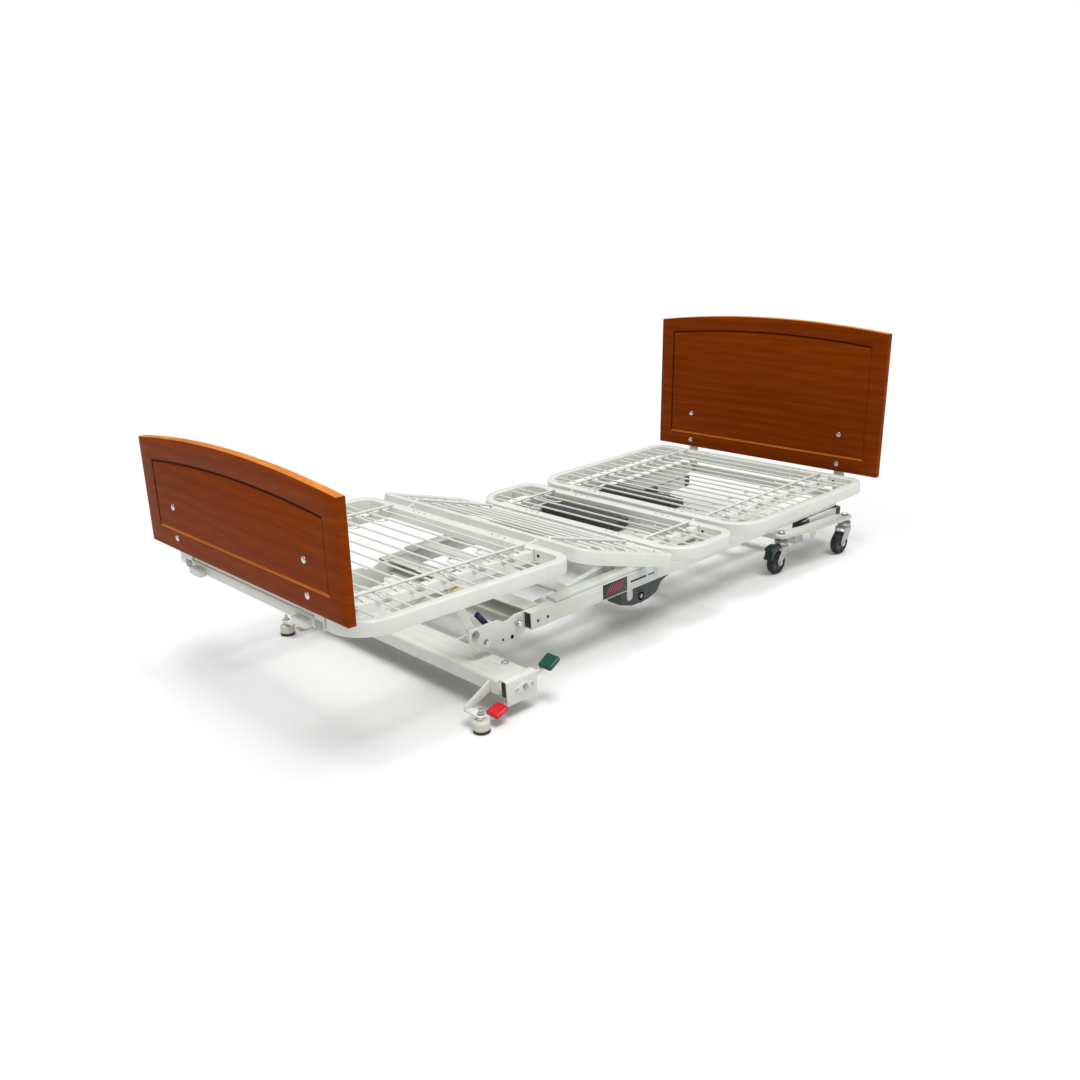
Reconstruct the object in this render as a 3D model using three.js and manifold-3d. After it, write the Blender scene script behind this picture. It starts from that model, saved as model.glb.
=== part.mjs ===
// Adjustable hospital bed with a sprung-wire deck in four sections, pull-out deck wings, a folding hi-lo base,
// floor glides at the foot end and swivel casters at the head end.
// Millimetres, +X towards the head, -Y the near side, +Z up. Inside the bed group x runs from the footboard's
// outer face and z from the floor.
import * as THREE from 'three';
import { mergeVertices } from 'three/addons/utils/BufferGeometryUtils.js';
import Module from 'manifold-3d';

const wasm = await Module();
wasm.setup();

// Driving dimensions
const GAP = 0.3;
const DECK_TOP = 257;
const DECK_HALF_WIDTH = 457;
const RAIL_HEIGHT = 38;
const RAIL_WIDTH = 34;
const HALF_RAIL = RAIL_HEIGHT / 2;
const CENTRE_HALF_WIDTH = 330;
const THIGH_HALF_WIDTH = 400;
const SECTION_GAP = 15;
const BOARD_WIDTH = 946;
const BOARD_THICKNESS = 22;
const BOARD_ARCH = 28;
const SEAT_HINGE_X = 1098;
const BACK_HINGE_X = 1390;
const BACK_END_X = 2086;
const THIGH_LENGTH = 400;
const THIGH_ANGLE = THREE.MathUtils.degToRad(16.5);
const FOOT_ANGLE = THREE.MathUtils.degToRad(1.5);
const FOOT_END_X = 28.3;
const HINGE_Z = DECK_TOP - HALF_RAIL;
const KNEE_DROP = 5;
const MAIN_RAIL = { x0: 635, x1: 2088, outerY: 344, width: 30, z0: 147, z1: 195 };
const BASE_PIVOT = { x: 560, z: 92 };
const FRAME_PIVOT = { x: 1120, z: 160 };
const HEAD_BASE_X = 1905;
const HEAD_FRAME_X = HEAD_BASE_X - (FRAME_PIVOT.x - BASE_PIVOT.x);
const LEG_Y = 190;
const FOOT_BEAM = { x0: 428, x1: 530, z0: 67, z1: 105, halfY: 438 };
const WHEEL_RADIUS = 38;
const CASTER_TOP = 118;

// Materials
const paint = new THREE.MeshStandardMaterial({ color: 0xe9ebe0, roughness: 0.42, metalness: 0.1 });
const wood = new THREE.MeshStandardMaterial({ color: 0x8a2c06, roughness: 0.4, metalness: 0 });
const zinc = new THREE.MeshStandardMaterial({ color: 0xb9bdbd, roughness: 0.3, metalness: 0.9 });
const darkPlastic = new THREE.MeshStandardMaterial({ color: 0x3a3c3e, roughness: 0.5, metalness: 0 });
const blackRubber = new THREE.MeshStandardMaterial({ color: 0x0c0c0d, roughness: 0.6, metalness: 0 });
const redPlastic = new THREE.MeshStandardMaterial({ color: 0xd8141c, roughness: 0.35, metalness: 0 });
const greenPlastic = new THREE.MeshStandardMaterial({ color: 0x0a6a50, roughness: 0.4, metalness: 0 });
const creamPlastic = new THREE.MeshStandardMaterial({ color: 0xe8dfb4, roughness: 0.45, metalness: 0 });
const navyGrip = new THREE.MeshStandardMaterial({ color: 0x141440, roughness: 0.5, metalness: 0 });
const whitePlastic = new THREE.MeshStandardMaterial({ color: 0xe6e4da, roughness: 0.45, metalness: 0 });

// Solids: three.js geometry in, manifold solids joined and cut, geometry out
function toSolid(geometry) {
  const bare = geometry.clone();
  bare.deleteAttribute('normal');
  bare.deleteAttribute('uv');
  const merged = mergeVertices(bare, 1e-4);
  return new wasm.Manifold(new wasm.Mesh({
    numProp: 3,
    vertProperties: new Float32Array(merged.attributes.position.array),
    triVerts: new Uint32Array(merged.index.array),
  }));
}

function toGeometry(solid) {
  const mesh = solid.getMesh();
  const geometry = new THREE.BufferGeometry();
  geometry.setAttribute('position', new THREE.BufferAttribute(new Float32Array(mesh.vertProperties), 3));
  geometry.setIndex(new THREE.BufferAttribute(new Uint32Array(mesh.triVerts), 1));
  geometry.computeVertexNormals();
  return geometry;
}

function join(...solids) {
  return solids.reduce((whole, solid) => whole.add(solid));
}

function cut(solid, ...tools) {
  return tools.reduce((whole, tool) => whole.subtract(tool), solid);
}

function box([x0, x1], [y0, y1], [z0, z1]) {
  const geometry = new THREE.BoxGeometry(Math.abs(x1 - x0), Math.abs(y1 - y0), Math.abs(z1 - z0));
  geometry.translate((x0 + x1) / 2, (y0 + y1) / 2, (z0 + z1) / 2);
  return toSolid(geometry);
}

// A cylinder or cone stub along one axis, from one coordinate to another
function rod(axis, radius, from, to, centre, sides = 12) {
  const geometry = new THREE.CylinderGeometry(radius, radius, Math.abs(to - from), sides);
  const middle = (from + to) / 2;
  if (axis === 'x') {
    geometry.rotateZ(Math.PI / 2);
    geometry.translate(middle, centre[0], centre[1]);
  } else if (axis === 'y') {
    geometry.translate(centre[0], middle, centre[1]);
  } else {
    geometry.rotateX(Math.PI / 2);
    geometry.translate(centre[0], centre[1], middle);
  }
  return toSolid(geometry);
}

// A flat shape in the XZ plane given thickness along Y
function sidePlate(points, y0, y1) {
  const geometry = new THREE.ExtrudeGeometry(new THREE.Shape(points), { depth: Math.abs(y1 - y0), bevelEnabled: false });
  geometry.rotateX(Math.PI / 2);
  geometry.translate(0, Math.max(y0, y1), 0);
  return toSolid(geometry);
}

// A flat shape in the XY plane given thickness along Z
function floorPlate(shape, z0, z1, curveSegments = 4) {
  const geometry = new THREE.ExtrudeGeometry(shape, { depth: z1 - z0, bevelEnabled: false, curveSegments });
  geometry.translate(0, 0, z0);
  return toSolid(geometry);
}

function lathe(profile, sides, x, y) {
  const geometry = new THREE.LatheGeometry(profile.map(([r, z]) => new THREE.Vector2(r, z)), sides);
  geometry.rotateX(Math.PI / 2);
  geometry.translate(x, y, 0);
  return toSolid(geometry);
}

// A straight bar between two points of the XZ plane
function link([xa, za], [xb, zb], width, y0, y1) {
  const dx = xb - xa;
  const dz = zb - za;
  const length = Math.hypot(dx, dz);
  const nx = (-dz / length) * (width / 2);
  const nz = (dx / length) * (width / 2);
  const points = [[xa + nx, za + nz], [xb + nx, zb + nz], [xb - nx, zb - nz], [xa - nx, za - nz]];
  return sidePlate(points.map(([x, z]) => new THREE.Vector2(x, z)), y0, y1);
}

function outline(points) {
  return points.map(([x, z]) => new THREE.Vector2(x, z));
}

const SIDES = [{ name: 'near', sign: -1 }, { name: 'far', sign: 1 }];

function add(parent, name, solid, material) {
  const mesh = new THREE.Mesh(toGeometry(solid), material);
  mesh.name = name;
  parent.add(mesh);
  return mesh;
}

// Pieces are shaped for the near side; the far side's copy has its Y coordinates and winding reversed
function onSide(solid, sign) {
  if (sign < 0) {
    return solid;
  }
  const mesh = solid.getMesh();
  const vertProperties = mesh.vertProperties.map((value, i) => (i % 3 === 1 ? -value : value));
  const triVerts = mesh.triVerts.slice();
  for (let i = 0; i < triVerts.length; i += 3) {
    [triVerts[i + 1], triVerts[i + 2]] = [triVerts[i + 2], triVerts[i + 1]];
  }
  return new wasm.Manifold(new wasm.Mesh({ numProp: 3, vertProperties, triVerts }));
}

const bed = new THREE.Group();

// Deck sections: hollow cross rails, long rods, transverse wires and notched guide bars
const WIRE = 6;
const WIRE_TOP = HALF_RAIL - 0.6;
const WIRE_BASE = WIRE_TOP - WIRE;
const HAIRPIN_TOP = WIRE_BASE - 1;
const HAIRPIN_BASE = HAIRPIN_TOP - 5;
const HAIRPIN_REACH = 205;
const HAIRPIN_HALF_SPACING = 17;
const GUIDE_Y = 312;
// The foot section's hairpins start this far along the bed and stand at this pitch
const FOOT_SPAN_X = 48.5;
const FOOT_PITCH = 97;
const ROD_Y = 292;

// Hairpin centres at one pitch, the first half a pitch from the span's start
function hairpinCentres(span, count) {
  const step = (span[1] - span[0]) / count;
  return Array.from({ length: count }, (_, i) => span[0] + step * (i + 0.5));
}

function crossRail(x, halfWidth) {
  const wall = 2.5;
  const outer = box([x - RAIL_WIDTH / 2, x + RAIL_WIDTH / 2], [-halfWidth, halfWidth], [-HALF_RAIL, HALF_RAIL]);
  const bore = box(
    [x - RAIL_WIDTH / 2 + wall, x + RAIL_WIDTH / 2 - wall],
    [-halfWidth - 1, halfWidth + 1],
    [-HALF_RAIL + wall, HALF_RAIL - wall],
  );
  return cut(outer, bore);
}

// x0 and x1 are the section's outer ends along the bed, in its own frame; z = 0 is the rails' mid height
function centreFrame({ x0, x1, halfWidth, hairpins, span }) {
  const railA = x0 + RAIL_WIDTH / 2;
  const railB = x1 - RAIL_WIDTH / 2;
  const innerA = x0 + RAIL_WIDTH;
  const innerB = x1 - RAIL_WIDTH;
  const centres = hairpinCentres(span, hairpins);
  const parts = [crossRail(railA, halfWidth), crossRail(railB, halfWidth)];
  const halfStep = (span[1] - span[0]) / hairpins / 2;
  for (let i = 0; i <= hairpins * 2; i += 1) {
    const x = span[0] + halfStep * i;
    if (x > innerA + WIRE && x < innerB - WIRE) {
      parts.push(box([x - WIRE / 2, x + WIRE / 2], [-halfWidth + 4, halfWidth - 4], [WIRE_BASE, WIRE_TOP]));
    }
  }
  for (const { sign } of SIDES) {
    const rodY = sign * ROD_Y;
    parts.push(box([innerA - 8, innerB + 8], [rodY - 4, rodY + 4], [HALF_RAIL - 0.5, HALF_RAIL + 7.5]));
    let guide = box([innerA - 1, innerB + 1], [sign * GUIDE_Y - 2, sign * GUIDE_Y + 2], [-14, WIRE_BASE + 0.5]);
    for (const x of centres) {
      for (const leg of [-HAIRPIN_HALF_SPACING, HAIRPIN_HALF_SPACING]) {
        guide = cut(guide, box(
          [x + leg - 5, x + leg + 5],
          [sign * GUIDE_Y - 4, sign * GUIDE_Y + 4],
          [HAIRPIN_BASE - 2, HAIRPIN_TOP + 1],
        ));
      }
    }
    parts.push(guide);
  }
  return join(...parts);
}

// The pull-out wing of a section: a bent outer rail, two spigots inside the cross rails and hairpin wires
function wing({ x0, x1, halfWidth, corners, hairpins, span }) {
  const thickness = 28;
  const start = -(halfWidth + GAP);
  const edge = -DECK_HALF_WIDTH;
  const [footCorner, headCorner] = corners;
  const [footInner, headInner] = corners.map((radius) => radius - thickness);
  const shape = new THREE.Shape();
  shape.moveTo(x0, start);
  shape.lineTo(x0, edge + footCorner);
  shape.absarc(x0 + footCorner, edge + footCorner, footCorner, Math.PI, 1.5 * Math.PI, false);
  shape.lineTo(x1 - headCorner, edge);
  shape.absarc(x1 - headCorner, edge + headCorner, headCorner, 1.5 * Math.PI, 2 * Math.PI, false);
  shape.lineTo(x1, start);
  shape.lineTo(x1 - thickness, start);
  shape.lineTo(x1 - thickness, edge + headCorner);
  shape.absarc(x1 - headCorner, edge + headCorner, headInner, 2 * Math.PI, 1.5 * Math.PI, true);
  shape.lineTo(x0 + footCorner, edge + thickness);
  shape.absarc(x0 + footCorner, edge + footCorner, footInner, 1.5 * Math.PI, Math.PI, true);
  shape.lineTo(x0 + thickness, start);
  shape.closePath();
  const parts = [floorPlate(shape, -HALF_RAIL, HALF_RAIL, 5)];
  for (const x of [x0 + 16, x1 - 16]) {
    parts.push(box([x - 12, x + 12], [start - 5, start + 150], [-HALF_RAIL + 4, HALF_RAIL - 4]));
  }
  for (const x of hairpinCentres(span, hairpins)) {
    parts.push(hairpin(x, edge + thickness));
  }
  return join(...parts);
}

// One wire bent into a hairpin: two legs welded to the outer rail and a round end towards the middle
function hairpin(x, railY) {
  const outer = HAIRPIN_HALF_SPACING + 2.5;
  const inner = HAIRPIN_HALF_SPACING - 2.5;
  const bendY = -HAIRPIN_REACH - outer;
  const shape = new THREE.Shape();
  shape.moveTo(x - outer, railY - 3);
  shape.lineTo(x - outer, bendY);
  shape.absarc(x, bendY, outer, Math.PI, 0, true);
  shape.lineTo(x + outer, railY - 3);
  shape.lineTo(x + inner, railY - 3);
  shape.lineTo(x + inner, bendY);
  shape.absarc(x, bendY, inner, 0, Math.PI, false);
  shape.lineTo(x - inner, railY - 3);
  shape.closePath();
  return floorPlate(shape, HAIRPIN_BASE, HAIRPIN_TOP, 3);
}

// Hinge lugs: one section has the pin, its neighbour the bored lug. reach is +1 or -1, the way the lug points
// from its cross rail's outer face, and axisZ is the pin's height above the rails' mid height.
function lugPlate(railFace, y, reach, axisZ) {
  const axisX = railFace + reach * SECTION_GAP;
  return sidePlate(outline([
    [railFace - reach, -13], [axisX, axisZ - 9], [axisX + reach * 8, axisZ - 4],
    [axisX + reach * 8, axisZ + 4], [axisX, axisZ + 9], [railFace - reach, 13],
  ]), y - 3, y + 3);
}

function pinLug(railFace, y, reach, axisZ = 0) {
  const pin = rod('y', 5, y, y - Math.sign(y) * 13, [railFace + reach * SECTION_GAP, axisZ]);
  return join(lugPlate(railFace, y, reach, axisZ), pin);
}

function boredLug(railFace, y, reach, axisZ = 0) {
  const bore = rod('y', 5 + GAP, y - 5, y + 5, [railFace + reach * SECTION_GAP, axisZ]);
  return cut(lugPlate(railFace, y, reach, axisZ), bore);
}

function lugPair(lug, lugY, railFace, reach, axisZ) {
  return join(...SIDES.map(({ sign }) => lug(railFace, sign * lugY, reach, axisZ)));
}

const PIN_LUG_Y = 272;
const BORED_LUG_Y = PIN_LUG_Y - 7;

// Footboard and headboard: arched laminate panels with one routed groove
function archShape(half, bottom, edgeTop, radius) {
  const sweep = Math.asin(half / radius);
  const shape = new THREE.Shape();
  shape.moveTo(-half, bottom);
  shape.lineTo(half, bottom);
  shape.absarc(0, edgeTop - radius * Math.cos(sweep), radius, Math.PI / 2 - sweep, Math.PI / 2 + sweep, false);
  shape.closePath();
  return shape;
}

// A flat shape drawn in the YZ plane given thickness along X
function yzPlate(shape, x0, x1, curveSegments) {
  const geometry = new THREE.ExtrudeGeometry(shape, { depth: x1 - x0, bevelEnabled: false, curveSegments });
  geometry.rotateX(Math.PI / 2);
  geometry.rotateZ(Math.PI / 2);
  geometry.translate(x0, 0, 0);
  return toSolid(geometry);
}

// The panel spans x = 0 to its thickness; the groove is routed into the face at faceX
function board({ height, faceX, grooveInset, grooveBottom, grooveTop, boltY, boltHeights }) {
  const half = BOARD_WIDTH / 2;
  const radius = (half * half + BOARD_ARCH * BOARD_ARCH) / (2 * BOARD_ARCH);
  const grooveHalf = half - grooveInset;
  const grooveWidth = 7;
  const grooveDepth = 3;
  const outer = archShape(grooveHalf, grooveBottom, grooveTop, radius);
  const inner = archShape(grooveHalf - grooveWidth, grooveBottom + grooveWidth, grooveTop - grooveWidth, radius);
  const groove = cut(
    yzPlate(outer, faceX - grooveDepth, faceX + grooveDepth, 10),
    yzPlate(inner, faceX - grooveDepth - 1, faceX + grooveDepth + 1, 10),
  );
  const holes = [-boltY, boltY].flatMap((y) => boltHeights.map(
    (z) => rod('x', 4 + GAP, -1, BOARD_THICKNESS + 1, [y, z], 10),
  ));
  return cut(yzPlate(archShape(half, 0, height, radius), 0, BOARD_THICKNESS, 10), groove, ...holes);
}

// A dome-headed bolt along X: the dome sits on one face of the board and the shank ends in the bracket
function carriageBolt(y, z, faceX, endX) {
  const away = Math.sign(faceX - endX);
  const profile = [[0, 0], [9, 0], [7.5, 1.6], [4, 2.6], [0, 2.7]];
  const dome = new THREE.LatheGeometry(profile.map(([r, h]) => new THREE.Vector2(r, h)), 10);
  dome.rotateZ((-away * Math.PI) / 2);
  dome.translate(faceX + away * GAP, y, z);
  return join(toSolid(dome), rod('x', 4, faceX + away, endX, [y, z], 10));
}

// Foot base: inverted channel beam with glides, end covers and the lock pedals' shaft
const LOCK_SHAFT = { x: 495, z: 74, radius: 8 };
const GLIDE_X = 355;
const GLIDE_Y = 455;

function footBeam() {
  const { x0, x1, z0, z1, halfY } = FOOT_BEAM;
  const wall = 4;
  const shell = box([x0, x1], [-halfY, halfY], [z0, z1]);
  const hollow = box([x0 + wall, x1 - wall], [-halfY - 1, halfY + 1], [z0 - 1, z1 - wall]);
  const parts = [cut(shell, hollow)];
  for (const { sign } of SIDES) {
    const near = (y) => sign * y;
    const cover = cut(
      box([x0 + 8, x1 + 8], [near(halfY - 1), near(462)], [38, z1]),
      box([x0 + 7, x1 + 9], [near(halfY - 2), near(457)], [37, z1 - wall]),
      rod('y', LOCK_SHAFT.radius + GAP, near(440), near(470), [LOCK_SHAFT.x, LOCK_SHAFT.z]),
    );
    const armY = [near(halfY - 34), near(halfY - 28)];
    const arm = sidePlate(outline([
      [x0 + 1, z1 - 6], [x0 + 1, z0 + 2], [GLIDE_X + 8, 42], [GLIDE_X - 12, 42], [GLIDE_X - 12, 56],
    ]), ...armY);
    const pad = box([GLIDE_X - 12, GLIDE_X + 10], [near(halfY - 34), near(GLIDE_Y + 11)], [42, 48]);
    const lugs = [near(LEG_Y - 30), near(LEG_Y + 18)].map((y) => cut(
      sidePlate(outline([
        [x1 - 8, z0 + 4], [BASE_PIVOT.x + 8, BASE_PIVOT.z - 16], [BASE_PIVOT.x + 16, BASE_PIVOT.z],
        [BASE_PIVOT.x + 8, BASE_PIVOT.z + 14], [x1 - 8, z1],
      ]), y, y + sign * 6),
      rod('y', 8 + GAP, y - sign * 3, y + sign * 9, [BASE_PIVOT.x, BASE_PIVOT.z]),
    ));
    parts.push(cover, arm, pad, ...lugs);
  }
  return join(...parts);
}

function lockRocker() {
  const { x, z, radius } = LOCK_SHAFT;
  const reach = 468;
  const parts = [rod('y', radius, -reach, reach, [x, z])];
  for (const { sign } of SIDES) {
    const y0 = sign * 445;
    const y1 = sign * 451;
    parts.push(rod('y', 14, sign * 462.5, sign * 470, [x, z], 6));
    parts.push(link([x, z], [446, 36], 16, y0, y1), link([446, 36], [431.6, 32.5], 12, y0, y1));
    parts.push(link([431.6, 32.5], [397, 20.7], 12, y0, y1));
    parts.push(link([x, z], [543, 85], 16, y0, y1), link([543, 84], [567.5, 92.9], 10, y0, y1));
    parts.push(link([567.5, 92.9], [598, 111.2], 10, y0, y1));
  }
  return join(...parts);
}

// A pedal cap, its head side tilted up; (x, z) is the middle of its underside
function pedal(x, z, length, width, y, tilt) {
  const half = length / 2;
  const profile = [[-half, 0], [half, 0], [half + 2, 5], [half, 11], [-half, 11], [-half - 2, 5]];
  const cos = Math.cos(THREE.MathUtils.degToRad(tilt));
  const sin = Math.sin(THREE.MathUtils.degToRad(tilt));
  const turned = profile.map(([u, v]) => [x + u * cos - v * sin, z + u * sin + v * cos]);
  return sidePlate(outline(turned), -y - width / 2, -y + width / 2);
}

function glide() {
  const profile = [[0, 8.3], [20, 8.3], [22, 12], [22, 28], [16, 33], [9, 34], [9, 41.7], [0, 41.7]];
  return lathe(profile, 16, GLIDE_X, -GLIDE_Y);
}

function glidePad() {
  return lathe([[0, 0], [20, 0], [22, 3], [22, 8], [0, 8]], 16, GLIDE_X, -GLIDE_Y);
}

// Hi-lo legs: two rectangular arms with a cross tube, pivoted on the base and on the main frame
function legFrame(baseX, frameX) {
  const turn = Math.sign(frameX - baseX);
  const base = [baseX, BASE_PIVOT.z];
  const frame = [frameX, FRAME_PIVOT.z];
  const parts = [];
  for (const { sign } of SIDES) {
    const y0 = sign * (LEG_Y - 12);
    const y1 = sign * (LEG_Y + 8);
    parts.push(link(base, frame, 34, y0, y1));
    for (const [x, z] of [base, frame]) {
      parts.push(rod('y', 17, y0, y1, [x, z], 12));
    }
    parts.push(rod('y', 8, sign * (LEG_Y - 36), sign * (LEG_Y + 28), base));
    parts.push(rod('y', 8, sign * (LEG_Y - 12), sign * (LEG_Y + 46), frame));
  }
  const crossX = baseX + turn * 130;
  const crossZ = BASE_PIVOT.z + ((FRAME_PIVOT.z - BASE_PIVOT.z) * 130) / Math.abs(frameX - baseX);
  parts.push(rod('y', 14, -LEG_Y, LEG_Y, [crossX, crossZ], 12));
  return join(...parts);
}

// Main frame
function mainRail() {
  const { x0, x1, outerY, width, z0, z1 } = MAIN_RAIL;
  const wall = 3;
  const tube = box([x0, x1], [-outerY, -outerY + width], [z0, z1]);
  const bore = (from, to) => box([from, to], [-outerY + wall, -outerY + width - wall], [z0 + wall, z1 - wall]);
  const holes = [x0 + 24, x0 + 60].map((x) => rod('y', 4, -outerY - 1, -outerY + 10, [x, z0 + 20], 8));
  return cut(tube, bore(x0 - 1, x0 + 90), bore(x1 - 90, x1 + 1), ...holes);
}

const BRACKET_Y = MAIN_RAIL.outerY - MAIN_RAIL.width - GAP;
const ARM_PIVOT = { x: 468, z: 178 };
const ARM_TOP = { x: 412, z: 315 };
const LEVER_PIVOT = { x: 592, z: 134 };

function hingeBracket() {
  const plate = sidePlate(outline([
    [448, 196], [452, 160], [472, 136], [496, 124], [545, 124], [600, 124], [640, 140], [760, 150],
    [760, 190], [640, 192], [520, 196],
  ]), -BRACKET_Y, -BRACKET_Y + 8);
  const armBore = rod('y', 8 + GAP, -BRACKET_Y - 2, -BRACKET_Y + 10, [ARM_PIVOT.x, ARM_PIVOT.z]);
  const leverBore = rod('y', 6 + GAP, -BRACKET_Y - 2, -BRACKET_Y + 10, [LEVER_PIVOT.x, LEVER_PIVOT.z]);
  const bolt = rod('y', 9, -BRACKET_Y - 7, -BRACKET_Y + 2, [504, 146], 6);
  const pin = rod('y', 8, -BRACKET_Y - 14, -BRACKET_Y + 2, [612, 168], 12);
  return join(cut(plate, armBore, leverBore), bolt, pin);
}

// C-section crossmember, open towards the foot end
function footChannel() {
  const reach = BRACKET_Y - 8 - GAP;
  const body = box([646, 700], [-reach, reach], [150, 194]);
  return cut(body, box([645, 696], [-reach - 1, reach + 1], [154, 190]));
}

function crossTube(x0, x1, z0, z1) {
  const reach = BRACKET_Y;
  const outer = box([x0, x1], [-reach, reach], [z0, z1]);
  return cut(outer, box([x0 + 3, x1 - 3], [-reach - 1, reach + 1], [z0 + 3, z1 - 3]));
}

// Cross tube of the main frame with four bored cheeks for a leg's upper pivot; turn is the tube's side of it
function pivotTube(frameX, turn) {
  const edges = [frameX + turn * 24, frameX + turn * 60];
  const tube = crossTube(Math.min(...edges), Math.max(...edges), MAIN_RAIL.z0, MAIN_RAIL.z1);
  const cheeks = SIDES.map(({ sign }) => {
    const y0 = sign * (LEG_Y + 12);
    const y1 = sign * (LEG_Y + 42);
    const plate = link([frameX, FRAME_PIVOT.z], [frameX + turn * 26, FRAME_PIVOT.z + 6], 34, y0, y1);
    const eye = rod('y', 17, y0, y1, [frameX, FRAME_PIVOT.z]);
    return cut(join(plate, eye), rod('y', 8 + GAP, y0 - sign * 2, y1 + sign * 2, [frameX, FRAME_PIVOT.z]));
  });
  return join(tube, ...cheeks);
}

// Gear motor housing with a stepped underside and a round recess in its outer face, under the main frame
function motorHousing(x0) {
  const z1 = MAIN_RAIL.z0 - GAP;
  const body = sidePlate(outline([
    [x0, z1], [x0 + 6, 88], [x0 + 60, 68], [x0 + 130, 68], [x0 + 172, 80], [x0 + 190, 108], [x0 + 226, 124],
    [x0 + 226, z1],
  ]), -306, -246);
  return cut(body, rod('y', 9, -310, -290, [x0 + 96, 92], 10));
}

function supportArm() {
  const y0 = -(BRACKET_Y - 8 - GAP);
  const y1 = y0 + 6;
  return join(
    link([ARM_PIVOT.x, ARM_PIVOT.z], [ARM_TOP.x, ARM_TOP.z], 22, y0, y1),
    rod('y', 13, y0, y1, [ARM_PIVOT.x, ARM_PIVOT.z]),
    rod('y', 11, y0, y1, [ARM_TOP.x, ARM_TOP.z]),
    rod('y', 8, y0 - 14, y1 - 1, [ARM_PIVOT.x, ARM_PIVOT.z]),
    rod('y', 5, y0 - 46, y0 + 1, [ARM_TOP.x, ARM_TOP.z]),
  );
}

function supportRoller() {
  const y1 = -(BRACKET_Y - 8 - GAP) - GAP;
  const roller = rod('y', 14, y1 - 42, y1, [ARM_TOP.x, ARM_TOP.z], 16);
  return cut(roller, rod('y', 5 + GAP, y1 - 43, y1 + 1, [ARM_TOP.x, ARM_TOP.z]));
}

function releaseLever() {
  const y0 = -(BRACKET_Y - 15);
  const { x, z } = LEVER_PIVOT;
  const bar = link([x, z], [x - 76, z + 56], 12, y0, y0 + 5);
  const grip = link([x - 66, z + 48], [x - 100, z + 90], 17, y0, y0 + 14);
  return join(bar, grip, rod('y', 10, y0, y0 + 5, [x, z]), rod('y', 6, y0 - 15, y0 + 1, [x, z]));
}

// Carriage: two long slide plates on the rails with cross plates, carrying the seat section
const CARRIAGE = { x0: 731, x1: 1620, z0: 195.5, z1: 205.5, innerY: 300 };

function carriageFrame() {
  const { x0, x1, z0, z1, innerY } = CARRIAGE;
  const parts = SIDES.map(({ sign }) => box([x0, x1], [sign * innerY, sign * (MAIN_RAIL.outerY - 4)], [z0, z1]));
  for (const [a, b] of [[778, 822], [1120, 1150], [1340, 1370], [1560, 1590]]) {
    parts.push(box([a, b], [-innerY - 1, innerY + 1], [z0 + 2, z1]));
  }
  for (const { sign } of SIDES) {
    for (const x of [SEAT_HINGE_X + 32, BACK_HINGE_X - 32]) {
      parts.push(box([x - 15, x + 15], [sign * 304, sign * 326], [z1 - 1, HINGE_Z - HALF_RAIL - GAP]));
    }
  }
  return join(...parts);
}

// Section actuator: a flat gear motor body lying under the deck wires
function sectionActuator(x0, x1, y0, y1) {
  const body = box([x0, x1], [y0, y1], [CARRIAGE.z1 + GAP, 232]);
  return cut(body, box([x0 + 30, x1 - 30], [y0 - 1, y0 + 6], [CARRIAGE.z1, 214]));
}

// Head base: cross tube, side tubes with end caps, dog-leg caster plates
const CASTERS = [
  { name: 'a', x: 1755, y: 350, braked: true },
  { name: 'b', x: 2055, y: 398, braked: false },
];
const SIDE_TUBE = { x0: 1870, x1: 2100, y0: 316, y1: 352, z0: CASTER_TOP - 14, z1: CASTER_TOP + 24 };

function headBase() {
  const parts = [box([HEAD_BASE_X - 26, HEAD_BASE_X + 16], [-SIDE_TUBE.y0 - 1, SIDE_TUBE.y0 + 1], [54, 74])];
  const { x0, x1, y0, y1, z0, z1 } = SIDE_TUBE;
  for (const { sign } of SIDES) {
    parts.push(box([x0, x1], [sign * y0, sign * y1], [z0, z1]));
    parts.push(box([HEAD_BASE_X - 26, HEAD_BASE_X + 16], [sign * y0, sign * (y0 + 8)], [54, z0 + 4]));
    for (const y of [sign * (LEG_Y - 30), sign * (LEG_Y + 18)]) {
      const lug = sidePlate(outline([
        [HEAD_BASE_X - 22, 70], [HEAD_BASE_X + 14, 70], [HEAD_BASE_X + 15, BASE_PIVOT.z + 4],
        [HEAD_BASE_X + 8, BASE_PIVOT.z + 15], [HEAD_BASE_X - 8, BASE_PIVOT.z + 15], [HEAD_BASE_X - 16, BASE_PIVOT.z + 4],
      ]), y, y + sign * 6);
      parts.push(cut(lug, rod('y', 8 + GAP, y - sign * 3, y + sign * 9, [HEAD_BASE_X, BASE_PIVOT.z])));
    }
  }
  return join(...parts);
}

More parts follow.
